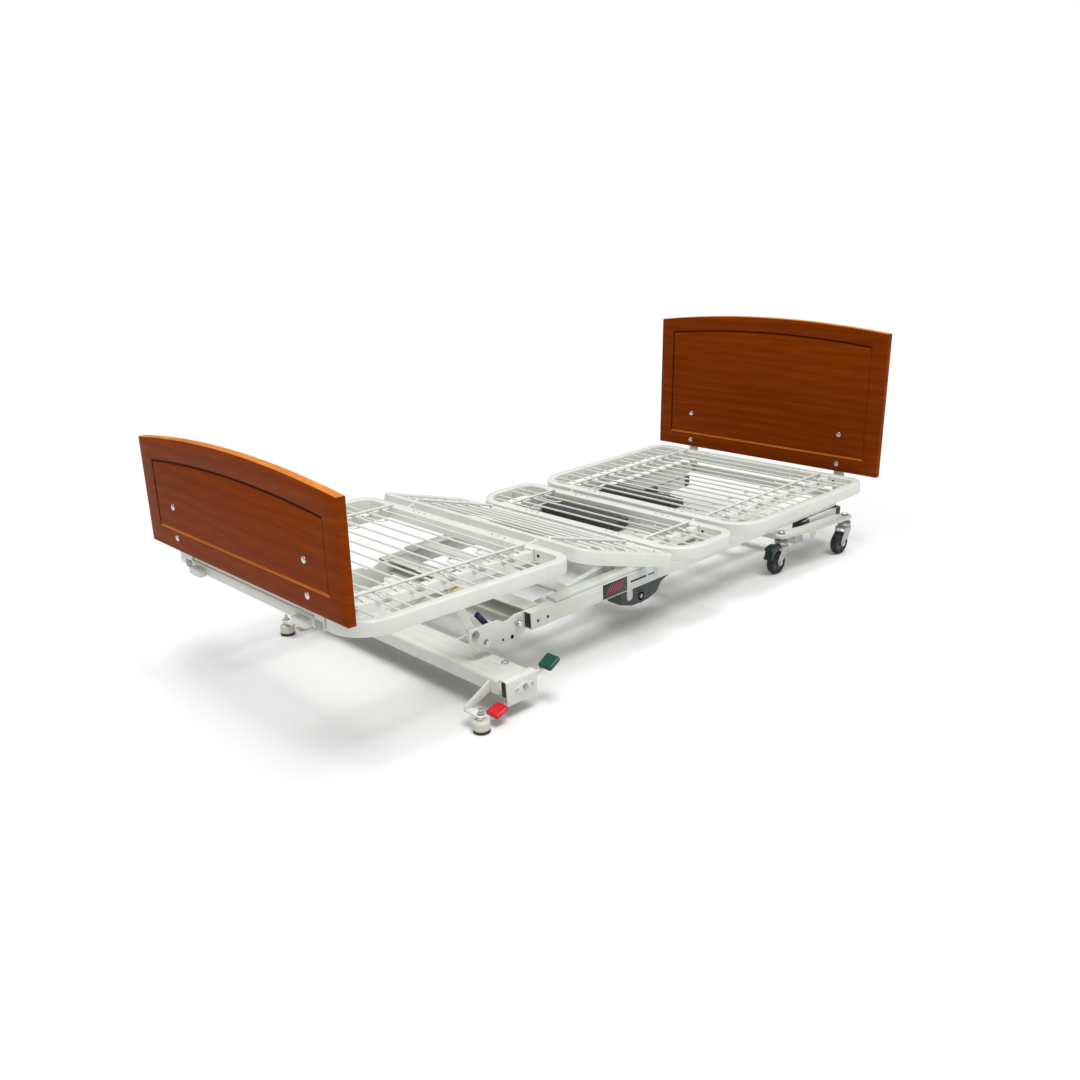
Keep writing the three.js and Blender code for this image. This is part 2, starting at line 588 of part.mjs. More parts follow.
function casterPlate() {
  const [a, b] = CASTERS;
  const vertex = { x: 1880, y: SIDE_TUBE.y1 + 26 };
  const half = 24;
  const shape = new THREE.Shape();
  shape.moveTo(a.x + 6, -a.y + half);
  shape.absarc(a.x, -a.y, half, Math.PI / 2 - 0.2, 1.5 * Math.PI - 0.2, false);
  shape.lineTo(vertex.x - 10, -vertex.y - half);
  shape.lineTo(b.x, -b.y - half);
  shape.absarc(b.x, -b.y, half, 1.5 * Math.PI, 2.5 * Math.PI, false);
  shape.lineTo(vertex.x + 8, -SIDE_TUBE.y1 - GAP);
  shape.lineTo(vertex.x - 12, -SIDE_TUBE.y1 - GAP);
  shape.closePath();
  const plate = floorPlate(shape, CASTER_TOP, CASTER_TOP + 12, 4);
  const gusset = sidePlate(outline([
    [vertex.x - 20, CASTER_TOP + 1], [vertex.x + 30, CASTER_TOP + 1], [vertex.x + 22, 84], [vertex.x + 10, 84],
  ]), -vertex.y - 6, -vertex.y + 2);
  const bores = CASTERS.map(({ x, y }) => rod('z', 6 + GAP, CASTER_TOP - 1, CASTER_TOP + 13, [x, -y]));
  return cut(join(plate, gusset), ...bores);
}

// Swivel fork: stem, raceway, bridge and two cheeks that trail towards the foot end
const TRAIL = 26;

function casterFork(x, y) {
  const profile = [[0, 92], [22, 92], [22, 106], [12, CASTER_TOP - GAP], [0, CASTER_TOP - GAP]];
  const race = lathe(profile, 12, x, y);
  const stem = rod('z', 6, CASTER_TOP - 2, CASTER_TOP + 18, [x, y], 10);
  const nut = rod('z', 10, CASTER_TOP + 12 + GAP, CASTER_TOP + 20, [x, y], 6);
  const bridge = box([x - 22, x + 14], [y - 19, y + 19], [86, 93]);
  const cheeks = [-1, 1].map((side) => sidePlate(outline([
    [x + 14, 93], [x + 14, 78], [x - TRAIL + 10, WHEEL_RADIUS - 7], [x - TRAIL - 8, WHEEL_RADIUS - 8],
    [x - TRAIL - 12, WHEEL_RADIUS + 4], [x - 22, 86], [x - 22, 93],
  ]), y + side * 19, y + side * 15.5));
  const axle = rod('y', 4, y - 22, y + 22, [x - TRAIL, WHEEL_RADIUS], 10);
  return join(race, stem, nut, bridge, ...cheeks, axle);
}

function casterWheel(x, y) {
  const r = WHEEL_RADIUS;
  const profile = [
    [4 + GAP, -14], [12, -14], [12, -9], [26, -9], [28, -12], [r - 3, -12], [r, -7], [r, 7],
    [r - 3, 12], [28, 12], [26, 9], [12, 9], [12, 14], [4 + GAP, 14], [4 + GAP, -14],
  ];
  const wheel = new THREE.LatheGeometry(profile.map(([radius, across]) => new THREE.Vector2(radius, across)), 18);
  wheel.translate(x - TRAIL, y, r);
  return toSolid(wheel);
}

// Two-lobed brake pedal above and ahead of the wheel, hinged on the fork
function brakePedal(x, y) {
  const px = x - 44;
  const pz = 80;
  const body = sidePlate(outline([
    [px + 21, pz + 16], [px + 4, pz + 22], [px - 22, pz + 16], [px - 30, pz + 6], [px - 22, pz - 2],
    [px - 34, pz - 20], [px - 26, pz - 26], [px - 8, pz - 4],
  ]), y - 15, y + 15);
  return cut(body, rod('y', 44, y - 16, y + 16, [x - TRAIL, WHEEL_RADIUS], 20));
}


// Assembly: sections at rest, the thigh raised and the foot section nearly level
const kneeX = SEAT_HINGE_X - THIGH_LENGTH * Math.cos(THIGH_ANGLE) - KNEE_DROP * Math.sin(THIGH_ANGLE);
const kneeZ = HINGE_Z + THIGH_LENGTH * Math.sin(THIGH_ANGLE) - KNEE_DROP * Math.cos(THIGH_ANGLE);

function hingedGroup(x, z, angle) {
  const group = new THREE.Group();
  group.position.set(x, 0, z);
  group.rotation.y = angle;
  bed.add(group);
  return group;
}

const thighGroup = hingedGroup(SEAT_HINGE_X, HINGE_Z, THIGH_ANGLE);
const seatGroup = hingedGroup(SEAT_HINGE_X, HINGE_Z, 0);
const backGroup = hingedGroup(BACK_HINGE_X, HINGE_Z, 0);
const footGroup = hingedGroup(kneeX, kneeZ, FOOT_ANGLE);
const footDeck = new THREE.Group();
footDeck.position.z = -KNEE_DROP;
footGroup.add(footDeck);

const SECTIONS = [
  {
    name: 'foot', group: footDeck, x0: FOOT_END_X - kneeX, x1: -SECTION_GAP, halfWidth: CENTRE_HALF_WIDTH,
    corners: [100, 60], hairpins: 6, span: [FOOT_SPAN_X - kneeX, FOOT_SPAN_X + 6 * FOOT_PITCH - kneeX],
    lugs: (s) => [lugPair(boredLug, BORED_LUG_Y, s.x1, 1, KNEE_DROP)],
  },
  {
    name: 'thigh', group: thighGroup, x0: SECTION_GAP - THIGH_LENGTH, x1: -SECTION_GAP, halfWidth: THIGH_HALF_WIDTH,
    corners: [54, 30], hairpins: 3,
    lugs: (s) => [lugPair(pinLug, PIN_LUG_Y, s.x0, -1, -KNEE_DROP), lugPair(boredLug, BORED_LUG_Y, s.x1, 1, 0)],
  },
  {
    name: 'seat', group: seatGroup, x0: SECTION_GAP, x1: BACK_HINGE_X - SEAT_HINGE_X - SECTION_GAP,
    halfWidth: CENTRE_HALF_WIDTH, corners: [110, 60], hairpins: 2,
    lugs: (s) => [lugPair(pinLug, PIN_LUG_Y, s.x0, -1, 0), lugPair(pinLug, PIN_LUG_Y, s.x1, 1, 0)],
  },
  {
    name: 'back', group: backGroup, x0: SECTION_GAP, x1: BACK_END_X - BACK_HINGE_X, halfWidth: CENTRE_HALF_WIDTH,
    corners: [110, 60], hairpins: 7, lugs: (s) => [lugPair(boredLug, BORED_LUG_Y, s.x0, -1, 0)],
  },
];

for (const fields of SECTIONS) {
  const section = { span: [fields.x0 + RAIL_WIDTH, fields.x1 - RAIL_WIDTH], ...fields };
  const { name, group } = section;
  add(group, `${name}_frame`, join(centreFrame(section), ...section.lugs(section)), paint);
  for (const side of SIDES) {
    add(group, `${name}_wing_${side.name}`, onSide(wing(section), side.sign), paint);
  }
}

// Footboard, bolted to an angle bar on the foot section's end rail
const FOOTBOARD = {
  height: 284, faceX: 0, grooveInset: 63, grooveBottom: 54, grooveTop: 232, boltY: 318, boltHeights: [34.7, 118],
};
const HEADBOARD = {
  height: 474, faceX: 0, grooveInset: 55, grooveBottom: 50, grooveTop: 430, boltY: 320, boltHeights: [25, 127],
};
const HEADBOARD_LEAN = THREE.MathUtils.degToRad(2.5);
const FOOTBOARD_RISE = 28;
const POST_THICKNESS = 5;

const footboardGroup = new THREE.Group();
footboardGroup.position.set(FOOT_END_X - kneeX - POST_THICKNESS - BOARD_THICKNESS - 2 * GAP, 0, FOOTBOARD_RISE);
footGroup.add(footboardGroup);

function boardBracket(spec, faceX, postX0, postX1, z0, barHeight, ...extras) {
  const top = spec.boltHeights[1] + 20;
  const posts = [-spec.boltY, spec.boltY].map((y) => box([postX0, postX1], [y - 20, y + 20], [z0, top]));
  const bar = box([postX0, postX1], [-spec.boltY, spec.boltY], [z0, z0 + barHeight]);
  const bolts = [-spec.boltY, spec.boltY].flatMap((y) => spec.boltHeights.map(
    (z) => carriageBolt(y, z, faceX, (postX0 + postX1) / 2),
  ));
  return join(bar, ...posts, ...bolts, ...extras);
}

const postX0 = BOARD_THICKNESS + GAP;
add(footboardGroup, 'footboard', board(FOOTBOARD), wood);
const footBarZ = -KNEE_DROP - HALF_RAIL - FOOTBOARD_RISE;
add(
  footboardGroup, 'footboard_bracket',
  boardBracket(FOOTBOARD, 0, postX0, postX0 + POST_THICKNESS - GAP, footBarZ, 24), paint,
);

// Headboard, leaning slightly outward on posts that reach under it from the main frame
const headboardGroup = hingedGroup(2110, 261, HEADBOARD_LEAN);
const stubs = SIDES.map(({ sign }) => box([-40, postX0 + 1], [sign * 320, sign * 338], [-108, -74]));
add(headboardGroup, 'headboard', board(HEADBOARD), wood);
add(
  headboardGroup, 'headboard_bracket',
  boardBracket(HEADBOARD, 0, postX0, postX0 + POST_THICKNESS, -108, 34, ...stubs), paint,
);

// Foot base
add(bed, 'foot_base_beam', footBeam(), paint);
add(bed, 'lock_rocker', lockRocker(), zinc);
for (const { name, sign } of SIDES) {
  add(bed, `lock_pedal_red_${name}`, onSide(pedal(410.6, 32.1, 40.2, 44, 454, 18.9), sign), redPlastic);
  add(bed, `lock_pedal_green_${name}`, onSide(pedal(582.2, 108.1, 40.8, 46, 465, 31), sign), greenPlastic);
  add(bed, `glide_${name}`, onSide(glide(), sign), whitePlastic);
  add(bed, `glide_pad_${name}`, onSide(glidePad(), sign), blackRubber);
}
add(bed, 'foot_leg', legFrame(BASE_PIVOT.x, FRAME_PIVOT.x), paint);

// Main frame
for (const { name, sign } of SIDES) {
  add(bed, `main_rail_${name}`, onSide(mainRail(), sign), paint);
  add(bed, `hinge_bracket_${name}`, onSide(hingeBracket(), sign), paint);
  add(bed, `support_arm_${name}`, onSide(supportArm(), sign), paint);
  add(bed, `support_roller_${name}`, onSide(supportRoller(), sign), creamPlastic);
}
add(bed, 'foot_channel', footChannel(), paint);
add(bed, 'pivot_tube_foot', pivotTube(FRAME_PIVOT.x, 1), paint);
add(bed, 'pivot_tube_head', pivotTube(HEAD_FRAME_X, -1), paint);
add(bed, 'lift_motor_foot', motorHousing(1015), darkPlastic);
add(bed, 'lift_motor_head', onSide(motorHousing(1180), 1), darkPlastic);
add(bed, 'release_lever', releaseLever(), navyGrip);
add(bed, 'carriage_frame', carriageFrame(), paint);
add(bed, 'knee_actuator', sectionActuator(1256, 1334, -60, 270), darkPlastic);
add(bed, 'back_actuator', sectionActuator(1540, 1610, -60, 270), darkPlastic);

// Head base and casters
add(bed, 'head_leg', legFrame(HEAD_BASE_X, HEAD_FRAME_X), paint);
add(bed, 'head_base', headBase(), paint);
for (const { name, sign } of SIDES) {
  add(bed, `caster_plate_${name}`, onSide(casterPlate(), sign), paint);
  for (const caster of CASTERS) {
    const { x, y } = caster;
    const tag = `${caster.name}_${name}`;
    add(bed, `caster_fork_${tag}`, onSide(casterFork(x, -y), sign), zinc);
    add(bed, `caster_wheel_${tag}`, onSide(casterWheel(x, -y), sign), blackRubber);
    if (caster.braked) {
      add(bed, `brake_pedal_${tag}`, onSide(brakePedal(x, -y), sign), greenPlastic);
    }
  }
}

// The frame's origin is on the floor under the middle of the whole bed
const reach = new THREE.Box3().setFromObject(bed, true);
bed.position.x = -(reach.min.x + reach.max.x) / 2;

export default bed;
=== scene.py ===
"""Adjustable hospital bed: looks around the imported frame.

Lengths in the builders are millimetres in the bed's own frame (x from the footboard's outer face, z from the
floor, -y the near side); ROW turns them into the row frame's metres.
"""
import math
from types import SimpleNamespace

import bmesh
import bpy
from mathutils import Matrix, Vector

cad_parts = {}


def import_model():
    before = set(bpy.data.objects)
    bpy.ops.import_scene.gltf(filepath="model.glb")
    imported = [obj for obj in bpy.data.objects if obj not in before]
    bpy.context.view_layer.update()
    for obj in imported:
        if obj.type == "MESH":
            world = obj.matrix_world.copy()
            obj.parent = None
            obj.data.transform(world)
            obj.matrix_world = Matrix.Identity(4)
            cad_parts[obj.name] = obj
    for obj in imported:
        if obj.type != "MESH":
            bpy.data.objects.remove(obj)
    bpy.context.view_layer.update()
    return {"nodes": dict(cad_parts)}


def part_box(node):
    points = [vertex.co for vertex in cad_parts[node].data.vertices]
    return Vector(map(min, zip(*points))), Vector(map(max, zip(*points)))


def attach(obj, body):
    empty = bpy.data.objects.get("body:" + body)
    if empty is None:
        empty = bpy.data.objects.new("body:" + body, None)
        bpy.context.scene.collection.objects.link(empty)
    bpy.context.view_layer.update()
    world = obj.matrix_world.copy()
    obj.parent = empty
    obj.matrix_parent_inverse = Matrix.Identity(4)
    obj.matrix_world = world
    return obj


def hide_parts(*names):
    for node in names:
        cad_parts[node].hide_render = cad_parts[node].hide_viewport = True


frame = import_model()

MM = 0.001
MAIN_RAIL = SimpleNamespace(x0=635, outer_y=344, width=30, z0=147, z1=195)
BED_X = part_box("main_rail_near")[0].x / MM - MAIN_RAIL.x0
ROW = Matrix.Diagonal((MM, MM, MM, 1)) @ Matrix.Translation((BED_X, 0, 0))
SIDES = (("near", -1), ("far", 1))

# Deck sections, as in the CAD source
RAIL_HEIGHT = 38
RAIL_WIDTH = 34
HALF_RAIL = RAIL_HEIGHT / 2
DECK_TOP = 257
DECK_HALF_WIDTH = 457
CENTRE_HALF_WIDTH = 330
THIGH_HALF_WIDTH = 400
SECTION_GAP = 15
SEAT_HINGE_X = 1098
BACK_HINGE_X = 1390
BACK_END_X = 2086
THIGH_LENGTH = 400
THIGH_ANGLE = math.radians(16.5)
FOOT_ANGLE = math.radians(1.5)
FOOT_END_X = 28.3
HINGE_Z = DECK_TOP - HALF_RAIL
KNEE_DROP = 5
HAIRPIN_HALF_SPACING = 17
HAIRPIN_REACH = 205
HAIRPIN_Z = 8.9
WIRE_Z = 15.4
WIRE_RADIUS = 3
HAIRPIN_RADIUS = 2.5
ROD_Y = 292
ROD_Z = 22.5
PIN_LUG_Y = 272
BORED_LUG_Y = 265
WING_RAIL_WIDTH = 28
SPLIT_GAP = 0.3

KNEE_X = SEAT_HINGE_X - THIGH_LENGTH * math.cos(THIGH_ANGLE) - KNEE_DROP * math.sin(THIGH_ANGLE)
KNEE_Z = HINGE_Z + THIGH_LENGTH * math.sin(THIGH_ANGLE) - KNEE_DROP * math.cos(THIGH_ANGLE)


def hinged(x, z, angle):
    """The row-frame matrix of a local frame set at (x, z) and turned about Y."""
    return ROW @ Matrix.Translation((x, 0, z)) @ Matrix.Rotation(angle, 4, "Y")


FOOT_FRAME = hinged(KNEE_X, KNEE_Z, FOOT_ANGLE)
FOOT_DECK = FOOT_FRAME @ Matrix.Translation((0, 0, -KNEE_DROP))


# -------- materials
class Nodes:
    """A helper over one material's node tree."""

    def __init__(self, name):
        self.material = bpy.data.materials.new(name)
        self.material.use_nodes = True
        self.tree = self.material.node_tree
        self.shader = self.tree.nodes["Principled BSDF"]
        self.coords = self.tree.nodes.new("ShaderNodeTexCoord").outputs["Object"]

    def feed(self, socket, value):
        if isinstance(value, bpy.types.NodeSocket):
            self.tree.links.new(value, socket)
        else:
            socket.default_value = value

    def fill(self, made, values):
        """Feeds a node's sockets, with _ for a space in their names, and sets its properties."""
        for key, value in values.items():
            socket = made.inputs.get(key.replace("_", " "))
            if socket:
                self.feed(socket, value)
            else:
                setattr(made, key, value)
        return made

    def node(self, kind, **values):
        return self.fill(self.tree.nodes.new(kind), values)

    def set(self, **values):
        self.fill(self.shader, values)

    def mapped(self, scale):
        return self.node("ShaderNodeMapping", Vector=self.coords, Scale=scale).outputs["Vector"]

    def noise(self, scale, detail=3.0, stretch=(1, 1, 1), roughness=0.55, distortion=0.0):
        return self.node(
            "ShaderNodeTexNoise", Vector=self.mapped(stretch), Scale=scale, Detail=detail,
            Roughness=roughness, Distortion=distortion,
        ).outputs["Fac"]

    def ramp(self, factor, *stops):
        made = self.node("ShaderNodeValToRGB", Fac=factor)
        elements = made.color_ramp.elements
        while len(elements) < len(stops):
            elements.new(0.5)
        for element, (position, colour) in zip(elements, stops):
            element.position = position
            element.color = (*colour, 1)
        return made.outputs["Color"]

    def span(self, factor, low, high, start=0.0, end=1.0):
        return self.node(
            "ShaderNodeMapRange", Value=factor, From_Min=start, From_Max=end, To_Min=low, To_Max=high,
        ).outputs["Result"]

    def mix(self, factor, a, b, mode="MIX"):
        made = self.node("ShaderNodeMix", data_type="RGBA", blend_type=mode)
        for index, value in ((0, factor), (6, a), (7, (*b, 1) if isinstance(b, tuple) else b)):
            self.feed(made.inputs[index], value)
        return made.outputs[2]

    def bump(self, height, strength, distance):
        made = self.node("ShaderNodeBump", Height=height, Strength=strength, Distance=distance)
        self.set(Normal=made.outputs["Normal"])


def scaled(colour, factor):
    return tuple(channel * factor for channel in colour)


def painted(name, colour, roughness=0.36, wear=0.5):
    """Powder coat: fine orange peel, faint smudges and lighter worn edges."""
    m = Nodes(name)
    smudge = m.noise(5.5, 5, roughness=0.6)
    body = m.ramp(smudge, (0.3, scaled(colour, 0.90)), (0.55, colour), (0.8, scaled(colour, 1.05)))
    worn = m.node("ShaderNodeMath", operation="MULTIPLY")
    m.feed(worn.inputs[0], m.span(m.node("ShaderNodeNewGeometry").outputs["Pointiness"], 0, 1, 0.515, 0.6))
    m.feed(worn.inputs[1], m.span(m.noise(160, 4, stretch=(1, 1, 0.35)), 0.0, wear))
    m.set(Base_Color=m.mix(worn.outputs[0], body, scaled(colour, 1.12)))
    m.set(Roughness=m.span(m.noise(38, 4), roughness - 0.07, roughness + 0.10))
    m.bump(m.noise(620, 2), 0.10, 0.0004)
    m.set(Coat_Weight=0.08, Coat_Roughness=0.22)
    return m.material


def plastic(name, colour, roughness=0.42, grain=850, strength=0.12, variation=0.12):
    """Moulded plastic: fine spark-eroded grain and slight colour drift."""
    m = Nodes(name)
    shades = ((0.3, scaled(colour, 1 - variation)), (0.75, scaled(colour, 1 + variation)))
    m.set(Base_Color=m.ramp(m.noise(9, 4), *shades))
    m.set(Roughness=m.span(m.noise(60, 3), roughness - 0.06, roughness + 0.08))
    m.bump(m.noise(grain, 2), strength, 0.0003)
    return m.material


def metal(name, colour, roughness=0.26, brushed=(1, 1, 1)):
    """Zinc or chrome plate: bright, with soft clouding and fine drawn lines."""
    m = Nodes(name)
    m.set(Base_Color=m.ramp(m.noise(26, 5), (0.3, scaled(colour, 0.84)), (0.7, scaled(colour, 1.08))))
    m.set(Roughness=m.span(m.noise(140, 3, stretch=brushed), roughness - 0.08, roughness + 0.12))
    m.bump(m.noise(500, 2, stretch=brushed), 0.06, 0.0002)
    m.set(Metallic=1.0)
    return m.material


def rubber(name, colour, roughness=0.62):
    m = Nodes(name)
    dust = m.noise(70, 6)
    m.set(Base_Color=m.ramp(dust, (0.35, colour), (0.8, tuple(c + 0.012 for c in scaled(colour, 1.6)))))
    m.set(Roughness=m.span(m.noise(45, 3), roughness - 0.1, roughness + 0.12))
    m.bump(m.noise(700, 3), 0.2, 0.0003)
    return m.material


def tinted(colour, tone):
    return tuple(c * t for c, t in zip(colour, tone))


def laminate(name, tone=(1, 1, 1)):
    """Cherry laminate: grain running along the board's width, cathedral figure and fine pores."""
    m = Nodes(name)
    warp = m.noise(1.6, 3, stretch=(1, 0.6, 2.2), distortion=0.4)
    figure = m.node("ShaderNodeTexWave", wave_type="BANDS", bands_direction="Z", wave_profile="SIN",
                    Vector=m.mapped((1, 0.16, 1)), Scale=9.0, Distortion=9.0, Detail=3.0, Detail_Scale=0.9)
    streak = m.noise(14, 7, stretch=(1, 0.35, 9), roughness=0.62)
    pores = m.noise(60, 4, stretch=(1, 0.12, 8), roughness=0.7)
    deep = tinted((0.070, 0.010, 0.0006), tone)
    mid = tinted((0.210, 0.034, 0.0010), tone)
    light = tinted((0.310, 0.060, 0.0020), tone)
    base = m.ramp(streak, (0.30, mid), (0.55, scaled(mid, 1.08)), (0.78, light))
    bands = ((0.0, (0.86, 0.82, 0.78)), (0.55, (1, 1, 1)), (1.0, (1.07, 1.10, 1.12)))
    banded = m.ramp(figure.outputs["Fac"], *bands)
    figured = m.mix(0.6, base, banded, "MULTIPLY")
    broad = m.ramp(warp, (0.3, (0.84, 0.82, 0.8)), (0.7, (1.12, 1.14, 1.16)))
    toned = m.mix(0.8, figured, broad, "MULTIPLY")
    pored = m.ramp(pores, (0.36, (1, 1, 1)), (0.44, (0, 0, 0)))
    m.set(Base_Color=m.mix(m.span(pored, 0.0, 0.42), toned, deep))
    m.set(Roughness=m.span(streak, 0.36, 0.50))
    m.bump(pores, 0.05, 0.0003)
    m.set(Specular_IOR_Level=0.03)
    return m.material


PAINT = painted("powder_coat_warm_white", (0.70, 0.72, 0.655))
PAINT_DECK = painted("powder_coat_deck", (0.75, 0.77, 0.71), roughness=0.33)
WOOD = laminate("cherry_laminate")
# A lighter, more orange copy of the laminate: painted highlight for the boards' lit top edge and the groove's
# lower side
WOOD_PAINTED_HIGHLIGHT = laminate("cherry_laminate_painted_highlight", (3.0, 6.0, 33))
# A darker copy of the laminate: painted shade on the groove's upper and far sides
WOOD_PAINTED_SHADE = laminate("cherry_laminate_painted_shade", (0.40, 0.40, 0.40))
ZINC = metal("zinc_plate", (0.44, 0.46, 0.45), 0.26, (1, 1, 6))
CHROME = metal("bright_zinc", (0.60, 0.62, 0.62), 0.20)
DARK_PLASTIC = plastic("motor_plastic", (0.052, 0.055, 0.058), 0.48)
RED = plastic("red_pedal", (0.60, 0.003, 0.010), 0.26, 420, 0.06, 0.08)
GREEN = plastic("green_pedal", (0.002, 0.060, 0.040), 0.30, 420, 0.06, 0.10)
GREEN_DARK = plastic("green_brake", (0.001, 0.018, 0.012), 0.36, 420, 0.08, 0.12)
CREAM = plastic("cream_roller", (0.66, 0.565, 0.32), 0.40, 600, 0.08, 0.08)
NAVY = plastic("navy_grip", (0.006, 0.006, 0.075), 0.36, 500, 0.15, 0.2)
OFF_WHITE = plastic("glide_plastic", (0.63, 0.62, 0.54), 0.38, 600, 0.08, 0.08)
# Black for real caps and screw tips, also painted shade for holes and an open tube end
BLACK = plastic("black_cap_and_hole_shade", (0.012, 0.012, 0.013), 0.42)
TYRE = rubber("tyre_rubber", (0.008, 0.008, 0.0085))
HUB = plastic("hub_plastic", (0.055, 0.057, 0.060), 0.42)
PAD = rubber("pad_rubber", (0.016, 0.013, 0.012))
LABEL_DARK = plastic("label_dark", (0.015, 0.015, 0.017), 0.30, 900, 0.02, 0.1)
LABEL_RED = plastic("label_red", (0.40, 0.02, 0.02), 0.34, 900, 0.02, 0.1)
LABEL_LIGHT = plastic("label_light", (0.60, 0.62, 0.60), 0.30, 900, 0.02, 0.05)
LABEL_BLUE = plastic("label_blue", (0.06, 0.16, 0.30), 0.34, 900, 0.02, 0.1)


def add_object(name, data):
    obj = bpy.data.objects.new(name, data)
    bpy.context.scene.collection.objects.link(obj)
    return obj


# -------- mesh builders
def arc(cx, cy, radius, start, end, steps):
    """Points of a plane arc, angles in degrees."""
    angles = [math.radians(start + (end - start) * i / steps) for i in range(steps + 1)]
    return [(cx + radius * math.cos(a), cy + radius * math.sin(a)) for a in angles]


def circle(radius, count):
    return arc(0, 0, radius, 0, 360, count)[:-1]


def rounded_ring(width, height, radius, steps=4):
    """A rounded rectangle about the origin, anticlockwise."""
    ring = []
    for sx, sy, start in ((1, 1, 0), (-1, 1, 90), (-1, -1, 180), (1, -1, 270)):
        ring += arc(sx * (width / 2 - radius), sy * (height / 2 - radius), radius, start, start + 90, steps)
    return ring


def smooth_path(points, radius, steps=5):
    """A polyline whose inner corners are rounded to the given radius."""
    pts = [Vector(p) for p in points]
    out = [pts[0]]
    for before, corner, after in zip(pts, pts[1:], pts[2:]):
        a = (before - corner).normalized()
        b = (after - corner).normalized()
        half = a.angle(b) / 2
        reach = min(radius / math.tan(half), (before - corner).length * 0.48, (after - corner).length * 0.48)
        for i in range(steps + 1):
            t = i / steps
            out.append(corner + a * reach * (1 - t) ** 2 + b * reach * t ** 2)
    return [*out, pts[-1]]


def stations(path, up):
    """Each point of a path with its across and above directions and its mitre's widening."""
    pts = [Vector(p) for p in path]
    out = []
    for i, p in enumerate(pts):
        before = (p - pts[i - 1]).normalized() if i else None
        after = (pts[i + 1] - p).normalized() if i < len(pts) - 1 else None
        tangent = ((before or after) + (after or before)).normalized()
        across = tangent.cross(Vector(up)).normalized()
        above = across.cross(tangent).normalized()
        widen = 1 / max(0.5, tangent.dot(after)) if before and after else 1.0
        out.append((p, across, above, widen))
    return out


def bridge(part, a, b):
    """Quads between two closed rows of the same count; returns the faces in order."""
    count = len(a)
    return [part.faces.new((a[i], a[(i + 1) % count], b[(i + 1) % count], b[i])) for i in range(count)]


def placed(axis, u, v, t):
    """A point t along the axis; the plane across it is (y, z), (x, z) or (x, y)."""
    return {"x": (t, u, v), "y": (u, t, v), "z": (u, v, t)}[axis]


def shifted(outline, dx):
    return [(x + dx, z) for x, z in outline]


def mirrored(profile):
    """A turned profile closed over its mirror image."""
    return profile + [(radius, -along) for radius, along in reversed(profile[:-1])] + [profile[0]]


def face_outwards(part):
    bmesh.ops.recalc_face_normals(part, faces=list(part.faces))


